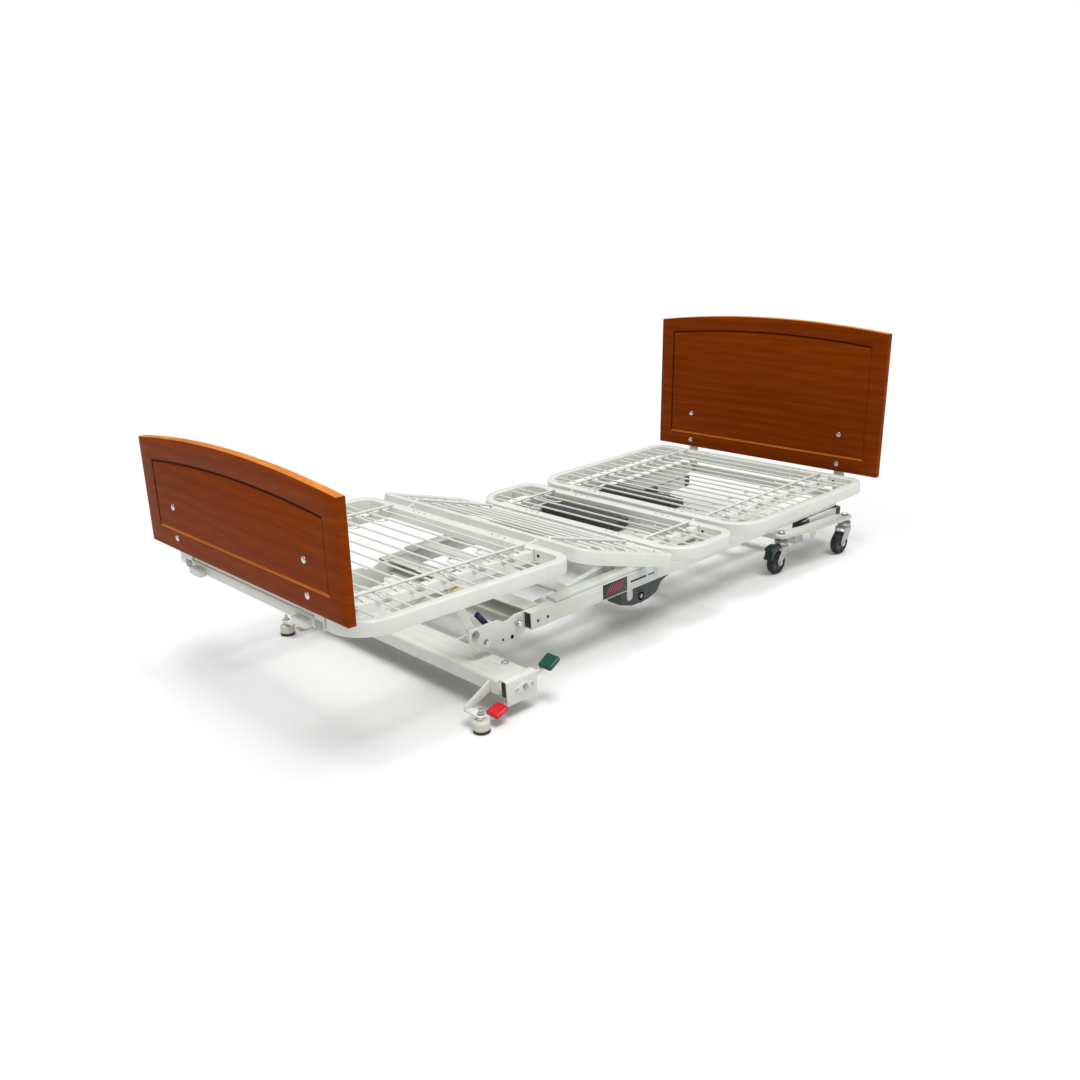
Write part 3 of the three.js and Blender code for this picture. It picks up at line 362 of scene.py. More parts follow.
class Piece:
    """Gathers shapes in one local frame and makes one object that rides on a CAD body."""

    def __init__(self, name, body, slot, materials, replaced=None, matrix=ROW):
        self.name = name
        self.body = body
        self.slot = slot
        self.materials = materials
        self.replaced = replaced
        self.matrix = matrix
        self.bm = bmesh.new()

    def take(self, part, material=0):
        """Adds a finished shape; material None keeps the faces' own."""
        if material is not None:
            for face in part.faces:
                face.material_index = material
        data = bpy.data.meshes.new("part")
        part.to_mesh(data)
        part.free()
        self.bm.from_mesh(data)
        bpy.data.meshes.remove(data)
        return self

    def box(self, x, y, z, radius=1.5, material=0, segments=2):
        part = bmesh.new()
        bmesh.ops.create_cube(part, size=1)
        size = Vector([abs(b - a) for a, b in (x, y, z)])
        centre = Vector([(a + b) / 2 for a, b in (x, y, z)])
        for v in part.verts:
            v.co = v.co * size + centre
        bmesh.ops.bevel(part, geom=list(part.edges), offset=min(radius, min(size) * 0.45), segments=segments,
                        affect="EDGES", profile=0.5)
        return self.take(part, material)

    def prism(self, outline, axis, a, b, radius=1.0, material=0, segments=2):
        """An outline in the plane across the axis, extruded from a to b, with rounded edges."""
        part = bmesh.new()
        low, high = ([part.verts.new(placed(axis, u, v, t)) for u, v in outline] for t in sorted((a, b)))
        part.faces.new(low)
        part.faces.new(list(reversed(high)))
        bridge(part, high, low)
        face_outwards(part)
        if radius > 0:
            rims = [e for e in part.edges if e.calc_face_angle(0) > math.radians(40)]
            bmesh.ops.bevel(part, geom=rims, offset=radius, segments=segments, affect="EDGES", profile=0.5,
                            clamp_overlap=True)
        bmesh.ops.triangulate(part, faces=[f for f in part.faces if len(f.verts) > 4])
        return self.take(part, material)

    def sweep(self, path, ring, up=(0, 0, 1), material=0):
        """A ring of (across, up) offsets carried along a path; up fixes the ring's attitude."""
        part = bmesh.new()
        rows = [[part.verts.new(p + across * u * widen + above * v) for u, v in ring]
                for p, across, above, widen in stations(path, up)]
        for a, b in zip(rows, rows[1:]):
            bridge(part, a, b)
        part.faces.new(rows[0])
        part.faces.new(list(reversed(rows[-1])))
        face_outwards(part)
        return self.take(part, material)

    def tube(self, path, width, height, wall, radius):
        """A hollow rounded rectangular tube along a straight or bent path, open at both ends."""
        rings = (rounded_ring(width, height, radius),
                 rounded_ring(width - 2 * wall, height - 2 * wall, max(0.6, radius - wall)))
        part = bmesh.new()
        rows = [[[part.verts.new(p + across * u + above * v) for u, v in ring] for ring in rings]
                for p, across, above, _ in stations(path, (0, 0, 1))]
        for a, b in zip(rows, rows[1:]):
            for outer_or_inner in (0, 1):
                bridge(part, a[outer_or_inner], b[outer_or_inner])
        for outer, inner in (rows[0], rows[-1]):
            bridge(part, outer, inner)
        face_outwards(part)
        return self.take(part)

    def wire(self, points, radius, bend=8, sides=10, material=0, up=(0, 0, 1)):
        path = smooth_path(points, bend) if len(points) > 2 else points
        return self.sweep(path, circle(radius, sides), up=up, material=material)

    def lathe(self, profile, axis, centre, sides=40, material=0):
        """A profile of (radius, along) turned about the axis through centre."""
        part = bmesh.new()
        middle = Vector(centre)
        rows = [[part.verts.new(middle + Vector(placed(axis, u, v, along)))
                 for u, v in (circle(radius, sides) if radius else [(0, 0)])] for radius, along in profile]
        for a, b in zip(rows, rows[1:]):
            for i in range(sides):
                j = (i + 1) % sides
                quad = [a[i % len(a)], a[j % len(a)], b[j % len(b)], b[i % len(b)]]
                face = list(dict.fromkeys(quad))
                if len(face) > 2:
                    part.faces.new(face)
        face_outwards(part)
        return self.take(part, material)

    def pin(self, axis, centre, radius, low, high, sides=20, material=0, tip=None):
        """A round bar from low to high along the axis, with an optional chamfered tip (radius, along)."""
        end = [tip, (0, tip[1])] if tip else [(0, high)]
        return self.lathe([(0, low), (radius, low), (radius, high), *end], axis, centre, sides, material)

    def bolt(self, axis, centre, reach, radius=8.5, height=5.5, material=0, washer=True):
        """A hexagon head with a washer and a centre dimple; reach is +1 or -1 along the axis."""
        if washer:
            self.pin(axis, centre, radius * 1.35, 0, reach * 1.3, 32, material)
        rise = [(0, 0.5), (1, 0.5), (1, height - 1), (0.86, height), (0.4, height), (0.3, height - 0.8),
                (0, height - 0.8)]
        return self.lathe([(r * radius, reach * h) for r, h in rise], axis, centre, 6, material)

    def done(self, smooth=38):
        self.bm.transform(self.matrix)
        if self.matrix.determinant() < 0:
            bmesh.ops.reverse_faces(self.bm, faces=list(self.bm.faces))
        mesh = bpy.data.meshes.new(self.name)
        self.bm.to_mesh(mesh)
        self.bm.free()
        for material in self.materials:
            mesh.materials.append(material)
        mesh.shade_smooth()
        mesh.set_sharp_from_angle(angle=math.radians(smooth))
        obj = add_object(self.name, mesh)
        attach(obj, self.body)
        if self.replaced:
            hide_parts(self.replaced)


def keep(node, material, width=0.0016, segments=3):
    """A CAD node that stays: its own shape with rounded edges and a procedural finish."""
    obj = frame["nodes"][node]
    obj.data.materials.clear()
    obj.data.materials.append(material)
    weld = obj.modifiers.new("weld", "WELD")
    weld.merge_threshold = 1e-6
    bevel = obj.modifiers.new("edges", "BEVEL")
    bevel.width = width
    bevel.segments = segments
    bevel.limit_method = "ANGLE"
    bevel.angle_limit = math.radians(35)
    bevel.harden_normals = True
    obj.data.shade_smooth()
    obj.data.set_sharp_from_angle(angle=math.radians(35))


# Sharp-edge angle, in degrees, of parts already rounded
SMOOTH_ROUND = 30


# -------- deck sections
def hairpin_centres(span, count):
    step = (span[1] - span[0]) / count
    return [span[0] + step * (i + 0.5) for i in range(count)]


def lug_outline(rail_face, reach, axis_z):
    axis_x = rail_face + reach * SECTION_GAP
    nose = [(axis_x + reach * x, z) for x, z in arc(0, axis_z, 8.5, 75, -75, 10)]
    return [(rail_face - reach, 13), *nose, (rail_face - reach, -13)]


def lugs(piece, kind, rail_face, reach, axis_z):
    """Two hinge lugs on a rail's face; a pin's lugs also carry its head and shank."""
    lug_y = PIN_LUG_Y if kind == "pin" else BORED_LUG_Y
    for _, sign in SIDES:
        y = sign * lug_y
        piece.prism(lug_outline(rail_face, reach, axis_z), "y", y - 3, y + 3, 0.8)
        centre = (rail_face + reach * SECTION_GAP, 0, axis_z)
        if kind == "pin":
            piece.pin("y", centre, 6.5, y + sign * 2.8, y + sign * 4.6, 20, 1, tip=(4, y + sign * 6.6))
            piece.pin("y", centre, 5, y, y - sign * 12, 20, 1, tip=(4, y - sign * 13))


def section_frame(name, body, matrix, x0, x1, half_width, span, hairpins, hinges):
    """Cross rails, transverse wires, long rods, castellated guide bars and hinge lugs of one section."""
    piece = Piece(f"{name}_deck_frame", body, "paint", [PAINT_DECK, CHROME, BLACK], f"{name}_frame", matrix)
    inner_a = x0 + RAIL_WIDTH
    inner_b = x1 - RAIL_WIDTH
    for x in (x0 + RAIL_WIDTH / 2, x1 - RAIL_WIDTH / 2):
        piece.tube([(x, -half_width, 0), (x, half_width, 0)], RAIL_WIDTH, RAIL_HEIGHT, 2.5, 4)
        # rows of three small fixing holes beside each side's rod, drawn as black discs of painted shade
        for _, sign in SIDES:
            for k in range(3):
                y = sign * (150 + 26 * k)
                piece.pin("z", (x, y, 0), 3.1, HALF_RAIL - 1, HALF_RAIL + 0.12, 14, 2)
    centres = hairpin_centres(span, hairpins)
    half_step = (span[1] - span[0]) / hairpins / 2
    for i in range(2 * hairpins + 1):
        x = span[0] + half_step * i
        if inner_a + WIRE_RADIUS * 2 < x < inner_b - WIRE_RADIUS * 2:
            end = half_width - 8
            low = WIRE_Z - 5
            path = [(x, -end, low), (x, -end + 9, WIRE_Z), (x, end - 9, WIRE_Z), (x, end, low)]
            piece.wire(path, WIRE_RADIUS, 7)
    for _, sign in SIDES:
        y = sign * ROD_Y
        piece.wire([(inner_a - 8, y, HALF_RAIL - 3), (inner_a - 5, y, ROD_Z), (inner_b + 5, y, ROD_Z),
                    (inner_b + 8, y, HALF_RAIL - 3)], 4, 9, 12, up=(0, 1, 0))
        guide_bar(piece, sign, inner_a, inner_b, centres)
    for kind, rail_face, reach, axis_z in hinges:
        lugs(piece, kind, rail_face, reach, axis_z)
    piece.done()


def guide_bar(piece, sign, x0, x1, centres):
    """A bar with raised blocks between the hairpins, which run through the notches."""
    notch = HAIRPIN_HALF_SPACING + 7
    low = sign * 301
    high = sign * 328
    piece.box((x0 - 1, x1 + 1), (low, high), (-16, -13), 0.8)
    edges = [x0 - 1] + [e for c in centres for e in (c - notch, c + notch)] + [x1 + 1]
    for a, b in zip(edges[::2], edges[1::2]):
        if b - a > 8:
            piece.box((a, b), (low, high), (-14, WIRE_Z - WIRE_RADIUS - 0.4), 2.2)
    for y in (low + sign * 1.2, high - sign * 1.2):
        piece.box((x0, x1), (y - 1.1, y + 1.1), (-14, -2), 0.5)


def wing_path(x0, x1, edge, radius_a, radius_b, start):
    """Centre line of a wing's bent outer rail, near side."""
    half = WING_RAIL_WIDTH / 2
    left = x0 + half
    right = x1 - half
    out = edge + half
    ra = radius_a - half
    rb = radius_b - half
    path = [(left, start), *arc(left + ra, out + ra, ra, 180, 270, 12),
            *arc(right - rb, out + rb, rb, 270, 360, 12), (right, start)]
    return [(x, y, 0) for x, y in path]


def wing(name, side, sign, matrix, x0, x1, half_width, radii, span, hairpins):
    """A pull-out wing: bent outer rail, spigots sliding in the cross rails, hairpins and corner screws."""
    flip = matrix if sign < 0 else matrix @ Matrix.Diagonal((1, -1, 1, 1))
    body = f"{name}_wing_{side}"
    piece = Piece(f"{name}_wing_rail_{side}", body, "paint", [PAINT_DECK, CHROME, BLACK], body, flip)
    start = -(half_width + SPLIT_GAP)
    edge = -DECK_HALF_WIDTH
    path = wing_path(x0, x1, edge, *radii, start)
    piece.tube(path, WING_RAIL_WIDTH, RAIL_HEIGHT, 2.5, 4)
    for x in (x0 + 16, x1 - 16):
        piece.box((x - 12, x + 12), (start - 5, start + 150), (-HALF_RAIL + 4, HALF_RAIL - 4), 2)
    for x in hairpin_centres(span, hairpins):
        hairpin(piece, x, edge + WING_RAIL_WIDTH - 2)
    for x, reach in ((x0 + WING_RAIL_WIDTH, 1), (x1 - WING_RAIL_WIDTH, -1)):
        piece.pin("x", (x, start - 14, 2), 4.2, -reach, reach * 1.6, 16, 2, tip=(2.6, reach * 2.6))
    piece.done()


def hairpin(piece, x, rail_y):
    half = HAIRPIN_HALF_SPACING
    bend_y = -HAIRPIN_REACH - half - HAIRPIN_RADIUS
    turn = arc(x, bend_y, half, 180, 0, 14)
    path = [(x - half, rail_y), *turn, (x + half, rail_y)]
    piece.sweep([(a, b, HAIRPIN_Z) for a, b in path], circle(HAIRPIN_RADIUS, 10))


FOOT_SPAN_X = 48.5
FOOT_PITCH = 97
SEAT_END_X = BACK_HINGE_X - SEAT_HINGE_X - SECTION_GAP
# Name, body, matrix, foot and head ends, half width, wing corner radii, wire span, hairpins and hinges
SECTIONS = (
    ("foot", "foot_section", FOOT_DECK, FOOT_END_X - KNEE_X, -SECTION_GAP, CENTRE_HALF_WIDTH, (100, 60),
     (FOOT_SPAN_X - KNEE_X, FOOT_SPAN_X + 6 * FOOT_PITCH - KNEE_X), 6,
     [("bored", -SECTION_GAP, 1, KNEE_DROP)]),
    ("thigh", "thigh_section", hinged(SEAT_HINGE_X, HINGE_Z, THIGH_ANGLE), SECTION_GAP - THIGH_LENGTH,
     -SECTION_GAP, THIGH_HALF_WIDTH, (54, 30), None, 3,
     [("pin", SECTION_GAP - THIGH_LENGTH, -1, -KNEE_DROP), ("bored", -SECTION_GAP, 1, 0)]),
    ("seat", "carriage", hinged(SEAT_HINGE_X, HINGE_Z, 0), SECTION_GAP, SEAT_END_X, CENTRE_HALF_WIDTH,
     (110, 60), None, 2, [("pin", SECTION_GAP, -1, 0), ("pin", SEAT_END_X, 1, 0)]),
    ("back", "back_section", hinged(BACK_HINGE_X, HINGE_Z, 0), SECTION_GAP, BACK_END_X - BACK_HINGE_X,
     CENTRE_HALF_WIDTH, (110, 60), None, 7, [("bored", SECTION_GAP, -1, 0)]),
)

for name, body, matrix, x0, x1, half_width, radii, span, hairpins, hinges in SECTIONS:
    span = span or (x0 + RAIL_WIDTH, x1 - RAIL_WIDTH)
    section_frame(name, body, matrix, x0, x1, half_width, span, hairpins, hinges)
    for side, sign in SIDES:
        wing(name, side, sign, matrix, x0, x1, half_width, radii, span, hairpins)


# -------- boards
BOARD_WIDTH = 946
BOARD_THICKNESS = 22
BOARD_ARCH = 28
GROOVE_WIDTH = 5.5
GROOVE_DEPTH = 3
EDGE_ROUND = 1.6
BOARD_STEPS = 40
GROOVE = -1
FOOTBOARD = {"height": 284, "inset": 63, "low": 54, "top": 232, "bolt_y": 318, "bolts": (34.7, 118)}
HEADBOARD = {"height": 474, "inset": 55, "low": 50, "top": 430, "bolt_y": 320, "bolts": (25, 127)}
HEADBOARD_FRAME = hinged(2110, 261, math.radians(2.5))
POST_X = BOARD_THICKNESS + 0.3
POST_THICKNESS = 5
FOOTBOARD_X = FOOT_END_X - KNEE_X - POST_THICKNESS - BOARD_THICKNESS - 0.6
FOOTBOARD_FRAME = FOOT_FRAME @ Matrix.Translation((FOOTBOARD_X, 0, 28))
ARCH_RADIUS = ((BOARD_WIDTH / 2) ** 2 + BOARD_ARCH ** 2) / (2 * BOARD_ARCH)


def arch_outline(half, low, edge_top):
    """Anticlockwise outline (y, z): flat bottom and straight sides under one shallow arch."""
    sweep = math.asin(half / ARCH_RADIUS)
    centre = edge_top - ARCH_RADIUS * math.cos(sweep)
    turn = math.degrees(sweep)
    top = arc(0, centre, ARCH_RADIUS, 90 - turn, 90 + turn, BOARD_STEPS)
    sides = 8
    right = [(half, low + (edge_top - low) * i / sides) for i in range(sides)]
    left = [(-half, edge_top - (edge_top - low) * i / sides) for i in range(1, sides)]
    bottom = [(-half + 2 * half * i / BOARD_STEPS, low) for i in range(BOARD_STEPS)]
    return right + top + left + bottom


def groove_painted_light(start, end):
    """The groove's painted light by side: painted highlight along the bottom, plain on the near upright,
    painted shade elsewhere.
    """
    along = end - start
    if abs(along.z) > abs(along.y):
        return 0 if start.y < 0 else 2
    return 2 if along.y < 0 else 1


def board(name, body, spec, matrix, replaced):
    """A panel whose front face (x = 0) carries a soft V groove, bridged from rings of one count."""
    half = BOARD_WIDTH / 2
    inset = spec["inset"]
    low = spec["low"]
    top = spec["top"]

    def ring(grow, x):
        return [(x, y, z) for y, z in arch_outline(half - grow, grow, spec["height"] - grow)]

    def groove_ring(shrink, x):
        return [(x, y, z) for y, z in arch_outline(half - inset - shrink, low + shrink, top - shrink)]

    e = EDGE_ROUND
    w = GROOVE_WIDTH
    rings = [
        (groove_ring(w + 0.8, 0), 0),
        (groove_ring(w, 0.5), 0), (groove_ring(w * 0.62, GROOVE_DEPTH), GROOVE),
        (groove_ring(w * 0.38, GROOVE_DEPTH), GROOVE),
        (groove_ring(0, 0.5), GROOVE), (groove_ring(-0.8, 0), GROOVE),
        (ring(e, 0), 0), (ring(e * 0.3, e * 0.3), 1), (ring(0, e), 1),
        (ring(0, BOARD_THICKNESS - e), 1), (ring(e * 0.3, BOARD_THICKNESS - e * 0.3), 1),
        (ring(e, BOARD_THICKNESS), 1),
    ]
    piece = Piece(name, body, "wood", [WOOD, WOOD_PAINTED_HIGHLIGHT, WOOD_PAINTED_SHADE], replaced, matrix)
    part = bmesh.new()
    rows = [([part.verts.new(p) for p in points], material) for points, material in rings]
    for (a, _), (b, material) in zip(rows, rows[1:]):
        for i, face in enumerate(bridge(part, a, b)):
            j = (i + 1) % len(a)
            # Groove faces take painted light by side: painted shade above and on the far upright, painted
            # highlight along the bottom
            if material == GROOVE:
                face.material_index = groove_painted_light(a[i].co, a[j].co)
            # Edge faces along the arched top take the painted highlight copy; the other edge faces keep the
            # plain laminate
            elif material == 1:
                face.material_index = 1 if a[j].co.y < a[i].co.y - 1 else 0
    for row in (rows[0][0], rows[-1][0]):
        part.faces.new(row)
    face_outwards(part)
    bmesh.ops.triangulate(part, faces=[f for f in part.faces if len(f.verts) > 4])
    piece.take(part, None).done(SMOOTH_ROUND)


def board_bracket(name, body, spec, matrix, z0, bar_height, replaced):
    """Angle bar and two posts behind a board, with dome-headed bolts through it."""
    piece = Piece(name, body, "paint", [PAINT, CHROME], replaced, matrix)
    x0 = POST_X
    x1 = POST_X + POST_THICKNESS - 0.3
    top = spec["bolts"][1] + 20
    bolt_y = spec["bolt_y"]
    piece.box((x0, x1), (-bolt_y - 19, bolt_y + 19), (z0, z0 + bar_height), 1.2)
    for y in (-bolt_y, bolt_y):
        piece.box((x0, x1), (y - 20, y + 20), (z0, top), 1.5)
        for z in spec["bolts"]:
            dome = [(0, -2.7), (3.5, -2.45), (6.6, -1.7), (8.6, -0.6), (9, 0.0), (9, 0.2), (0, 0.2)]
            piece.lathe(dome, "x", (-0.25, y, z), 28, 1)
            piece.bolt("x", (x1 - 0.2, y, z), 1, 6.5, 4.5, 1)
    return piece


board("footboard_panel", "foot_section", FOOTBOARD, FOOTBOARD_FRAME, "footboard")
foot_bracket = board_bracket("footboard_bracket_bolts", "foot_section", FOOTBOARD, FOOTBOARD_FRAME,
                             -KNEE_DROP - HALF_RAIL - 28, 24, "footboard_bracket")
for y in (-255, 255):
    foot_bracket.box((4, POST_X + 2), (y - 30, y + 30), (-56, -38), 3)
foot_bracket.done()
board("headboard_panel", "main_frame", HEADBOARD, HEADBOARD_FRAME, "headboard")
head_bracket = board_bracket("headboard_bracket_bolts", "main_frame", HEADBOARD, HEADBOARD_FRAME, -108, 34,
                             "headboard_bracket")
for _, sign in SIDES:
    head_bracket.box((-40, POST_X + 1), (sign * 320, sign * 338), (-108, -74), 1.5)
head_bracket.done()


# -------- foot base
# The beam's x0, x1, z0, z1 and half length
FOOT_BEAM = (428, 530, 67, 105, 438)
BASE_PIVOT = (560, 92)
LOCK_SHAFT = (495, 74)
GLIDE = (355, 455)
LEG_Y = 190
WALL = 3.5
COVER_Y = 462


def foot_base():
    x0, x1, z0, z1, half = FOOT_BEAM
    piece = Piece("foot_base_weldment", "foot_base", "paint", [PAINT, CHROME, BLACK], "foot_base_beam")
    bend = 7
    a, b, z = x0 + bend, x1 - bend, z1 - bend
    outer = [(x0, z0), *arc(a, z, bend, 180, 90, 5), *arc(b, z, bend, 90, 0, 5), (x1, z0)]
    inner = [(x1 - WALL, z0), *arc(b, z, bend - WALL, 0, 90, 5), *arc(a, z, bend - WALL, 90, 180, 5),
             (x0 + WALL, z0)]
    piece.prism(outer + inner, "y", -half, half, 0)
    # two shallow stiffening ribs along the beam's top
    for x in (458, 500):
        piece.box((x - 9, x + 9), (-half + 60, half - 60), (z1 - 1, z1 + 1.2), 1)
    for _, sign in SIDES:
        end_cover(piece, sign, x0, x1, z1, half)
        gx, gy = GLIDE[0], sign * GLIDE[1]
        arm = [(x0 + 1, z1 - 6), (x0 + 1, z0 + 2), (gx + 8, 42), (gx - 12, 42), (gx - 12, 56)]
        piece.prism(arm, "y", sign * (half - 34), sign * (half - 28), 1)
        piece.box((gx - 12, gx + 10), (sign * (half - 34), gy + sign * 11), (42, 48), 2)
        piece.bolt("z", (gx, gy, 48), 1, 7.5, 7, 1)
        piece.pin("z", (gx, gy, 0), 4.2, 55, 62, 18, 1, tip=(3.4, 63))
        for y in (sign * (LEG_Y - 30), sign * (LEG_Y + 18)):
            px, pz = BASE_PIVOT
            lug = [(x1 - 8, z0 + 4), (px + 6, pz - 17), *arc(px, pz, 17, -60, 70, 8), (x1 - 8, z1)]
            piece.prism(lug, "y", y, y + sign * 6, 1)
        # welded ring on the beam's top near each end
        ring = [(7, z1), (11, z1), (11, z1 + 2.5), (7, z1 + 2.5), (7, z1)]
        piece.lathe(ring, "z", (512, sign * 372, 0), 28, 1)
    piece.done()


def end_cover(piece, sign, x0, x1, z1, half):
    """Folded end cover with a rounded top edge, the lock shaft's boss plate and its screws."""
    a, b = x0 + 8, x1 + 8
    r = 8
    face = sign * COVER_Y
    section = [(half - 1, z1), *arc(COVER_Y - r, z1 - r, r, 90, 0, 6), (COVER_Y, 38), (COVER_Y - WALL, 38),
               *arc(COVER_Y - r, z1 - r, r - WALL, 0, 90, 6), (half - 1, z1 - WALL)]
    piece.prism([(sign * y, z) for y, z in section], "x", a, b, 0.5)
    cx, cz = LOCK_SHAFT
    plate = [*arc(cx, cz, 16, 50, 130, 8), *arc(cx - 25, cz, 7, 110, 250, 6),
             *arc(cx, cz, 16, 230, 310, 8), *arc(cx + 25, cz, 7, -70, 70, 6)]
    piece.prism(plate, "y", face - sign, face + sign * 3.6, 0.8)
    for x in (cx - 25, cx + 25):
        piece.bolt("y", (x, face + sign * 3.4, cz), sign, 4.2, 2.6, 1)
    piece.box((a + 1, a + 20), (sign * (half + 3), face - sign * 5), (60, z1 - 5), 1, 2)


foot_base()


def strip(path, halves):
    """Outline of a flat bar bent along a path, with half its width at each point."""
    left = []
    right = []
    for i, (x, z) in enumerate(path):
        before = Vector(path[max(i - 1, 0)])
        after = Vector(path[min(i + 1, len(path) - 1)])
        run = (after - before).normalized()
        left.append((x - run.y * halves[i], z + run.x * halves[i]))
        right.append((x + run.y * halves[i], z - run.x * halves[i]))
    return left + right[::-1]


def lock_rocker():
    """The lock pedals' shaft with its two pairs of cranked arms and end bolts."""
    piece = Piece("lock_rocker_arms", "lock_rocker", "zinc", [ZINC, PAINT], "lock_rocker")
    x, z = LOCK_SHAFT
    piece.pin("y", (x, 0, z), 8, -466, 466, 24)
    foot_arm = ([(x + 6, z + 4.6), (x - 6, z - 4.6), (452, 40.6), (431, 32.3), (412, 25.8), (393, 19.4)],
                [6, 8, 7.4, 6, 6, 5])
    head_arm = ([(x - 6, z - 1.4), (x + 6, z + 1.4), (540, 84.2), (566, 92.4), (584, 102.9), (601, 113)],
                [6, 8, 7, 5, 5, 4])
    for _, sign in SIDES:
        for path, halves in (foot_arm, head_arm):
            piece.prism(strip(path, halves), "y", sign * 445, sign * 451, 1, 1)
        piece.pin("y", (x, 0, z), 10.5, sign * 462.6, sign * 464.2, 28)
        piece.bolt("y", (x, sign * 464, z), sign, 8.5, 6, 0, washer=False)
    piece.done()


lock_rocker()


# Pedal caps: colour, centre x and z, centre y, length, width, tilt in degrees, finish
PEDALS = (
    ("red", 410.6, 32.1, 454, 43.6, 44, -18.9, RED),
    ("green", 582.2, 108.1, 465, 44.2, 46, -31, GREEN),
)


def pedal_pad(colour, side, x, z, y, length, width, tilt, material):
    """A moulded pedal cap: a pillowed block, tilted up at its head side."""
    piece = Piece(f"pedal_{colour}_{side}", "lock_rocker", f"{colour}_plastic", [material],
                  f"lock_pedal_{colour}_{side}")
    ring = rounded_ring(length, width, 6, 5)
    layers = ((0.88, 0.0), (0.96, 0.8), (1.0, 2.6), (1.0, 7.4), (0.975, 9.0), (0.92, 10.3), (0.84, 11.0),
              (0.6, 11.0), (0.3, 11.0))
    part = bmesh.new()
    rows = [[part.verts.new((u * s, v * s, h)) for u, v in ring] for s, h in layers]
    for a, b in zip(rows, rows[1:]):
        bridge(part, a, b)
    part.faces.new(rows[0])
    part.faces.new(rows[-1])
    face_outwards(part)
    part.transform(Matrix.Translation((x, y, z)) @ Matrix.Rotation(math.radians(tilt), 4, "Y"))
    piece.take(part).done(50)


for side, sign in SIDES:
    for colour, x, z, reach, *shape in PEDALS:
        pedal_pad(colour, side, x, z, sign * reach, *shape)
    centre = (GLIDE[0], sign * GLIDE[1], 0)
    glide = Piece(f"glide_cup_{side}", "foot_base", "white_plastic", [OFF_WHITE, CHROME], f"glide_{side}")
    glide.lathe([(0, 8.3), (20.6, 8.3), (21.6, 9.2), (22, 11), (22, 27), (21, 30), (18, 32), (13, 33.2),
                 (9.5, 34), (9, 35), (9, 41.7), (0, 41.7)], "z", centre, 44)
    glide.lathe([(9.1, 36), (11.5, 36), (11.5, 40), (9.1, 40)], "z", centre, 6, 1)
    glide.done()
    pad = Piece(f"glide_sole_{side}", "foot_base", "black_rubber", [PAD], f"glide_pad_{side}")
    pad.lathe([(0, 0), (19, 0), (20.4, 0.6), (21.4, 2), (22, 4), (22, 7.2), (21, 8), (0, 8)], "z", centre, 44)
    pad.done()


# -------- main frame
BRACKET_Y = MAIN_RAIL.outer_y - MAIN_RAIL.width - 0.3
ARM_PIVOT = (468, 178)
ARM_TOP = (412, 315)
LEVER_PIVOT = (592, 134)


def hinge_bracket(side, sign):
    """Flat forged-looking bracket that carries the foot end of a rail, with its bolt, pin and a hole drawn as
    a black disc of painted shade.
    """
    piece = Piece(f"hinge_bracket_plate_{side}", "main_frame", "paint", [PAINT, CHROME, BLACK],
                  f"hinge_bracket_{side}")
    outline = [(448, 196), (450, 168), (455, 152), (466, 137), (482, 127), (500, 124), (600, 124), (622, 128),
               (640, 140), (700, 146), (760, 150), (760, 190), (640, 192), (606, 192), (590, 184), (566, 184),
               (552, 194), (520, 196)]
    outer = sign * BRACKET_Y
    piece.prism(outline, "y", outer, outer - sign * 8, 1.6)
    piece.bolt("y", (504, outer, 146), sign, 9, 5.5, 1)
    piece.pin("y", (612, outer, 168), 8, 0, sign * 12, 24, 1, tip=(6.5, sign * 14))
    # The hole: a flat black disc, painted shade for its dark inside
    piece.pin("y", (560, outer, 136), 4, 0, sign * 0.15, 18, 2)
    piece.done()


def support_arm(side, sign):
    body = f"support_arm_{side}"
    piece = Piece(f"support_arm_link_{side}", body, "paint", [PAINT, CHROME], body)
    (ax, az), (tx, tz) = ARM_PIVOT, ARM_TOP
    direction = Vector((tx - ax, tz - az)).normalized()
    angle = math.degrees(math.atan2(direction.y, direction.x))
    outline = [*arc(ax, az, 13, angle + 90, angle + 270, 10), *arc(tx, tz, 11, angle - 90, angle + 90, 10)]
    y0 = sign * (BRACKET_Y - 8.3)
    y1 = y0 - sign * 6
    piece.prism(outline, "y", y0, y1, 1)
    piece.pin("y", (ax, 0, az), 7.9, y1 + sign, y0 + sign * 13, 24, 1)
    piece.bolt("y", (ax, y0 + sign * 9, az), sign, 9.5, 5.5, 1)
    piece.pin("y", (tx, 0, tz), 5, y0 - sign, y0 + sign * 44, 20, 1, tip=(3.5, y0 + sign * 46))
    piece.done()


def support_roller(side, sign):
    body = f"support_roller_{side}"
    piece = Piece(f"roller_{side}", body, "cream_plastic", [CREAM], body)
    y1 = sign * (BRACKET_Y - 8)
    y0 = y1 + sign * 42
    tx, tz = ARM_TOP
    profile = [(5.3, y1), (12, y1), (13.4, y1 + sign), (14, y1 + sign * 3), (14, y0 - sign * 3),
               (13.4, y0 - sign), (12, y0), (5.3, y0), (5.3, y1)]
    piece.lathe(profile, "y", (tx, 0, tz), 36)
    piece.done()


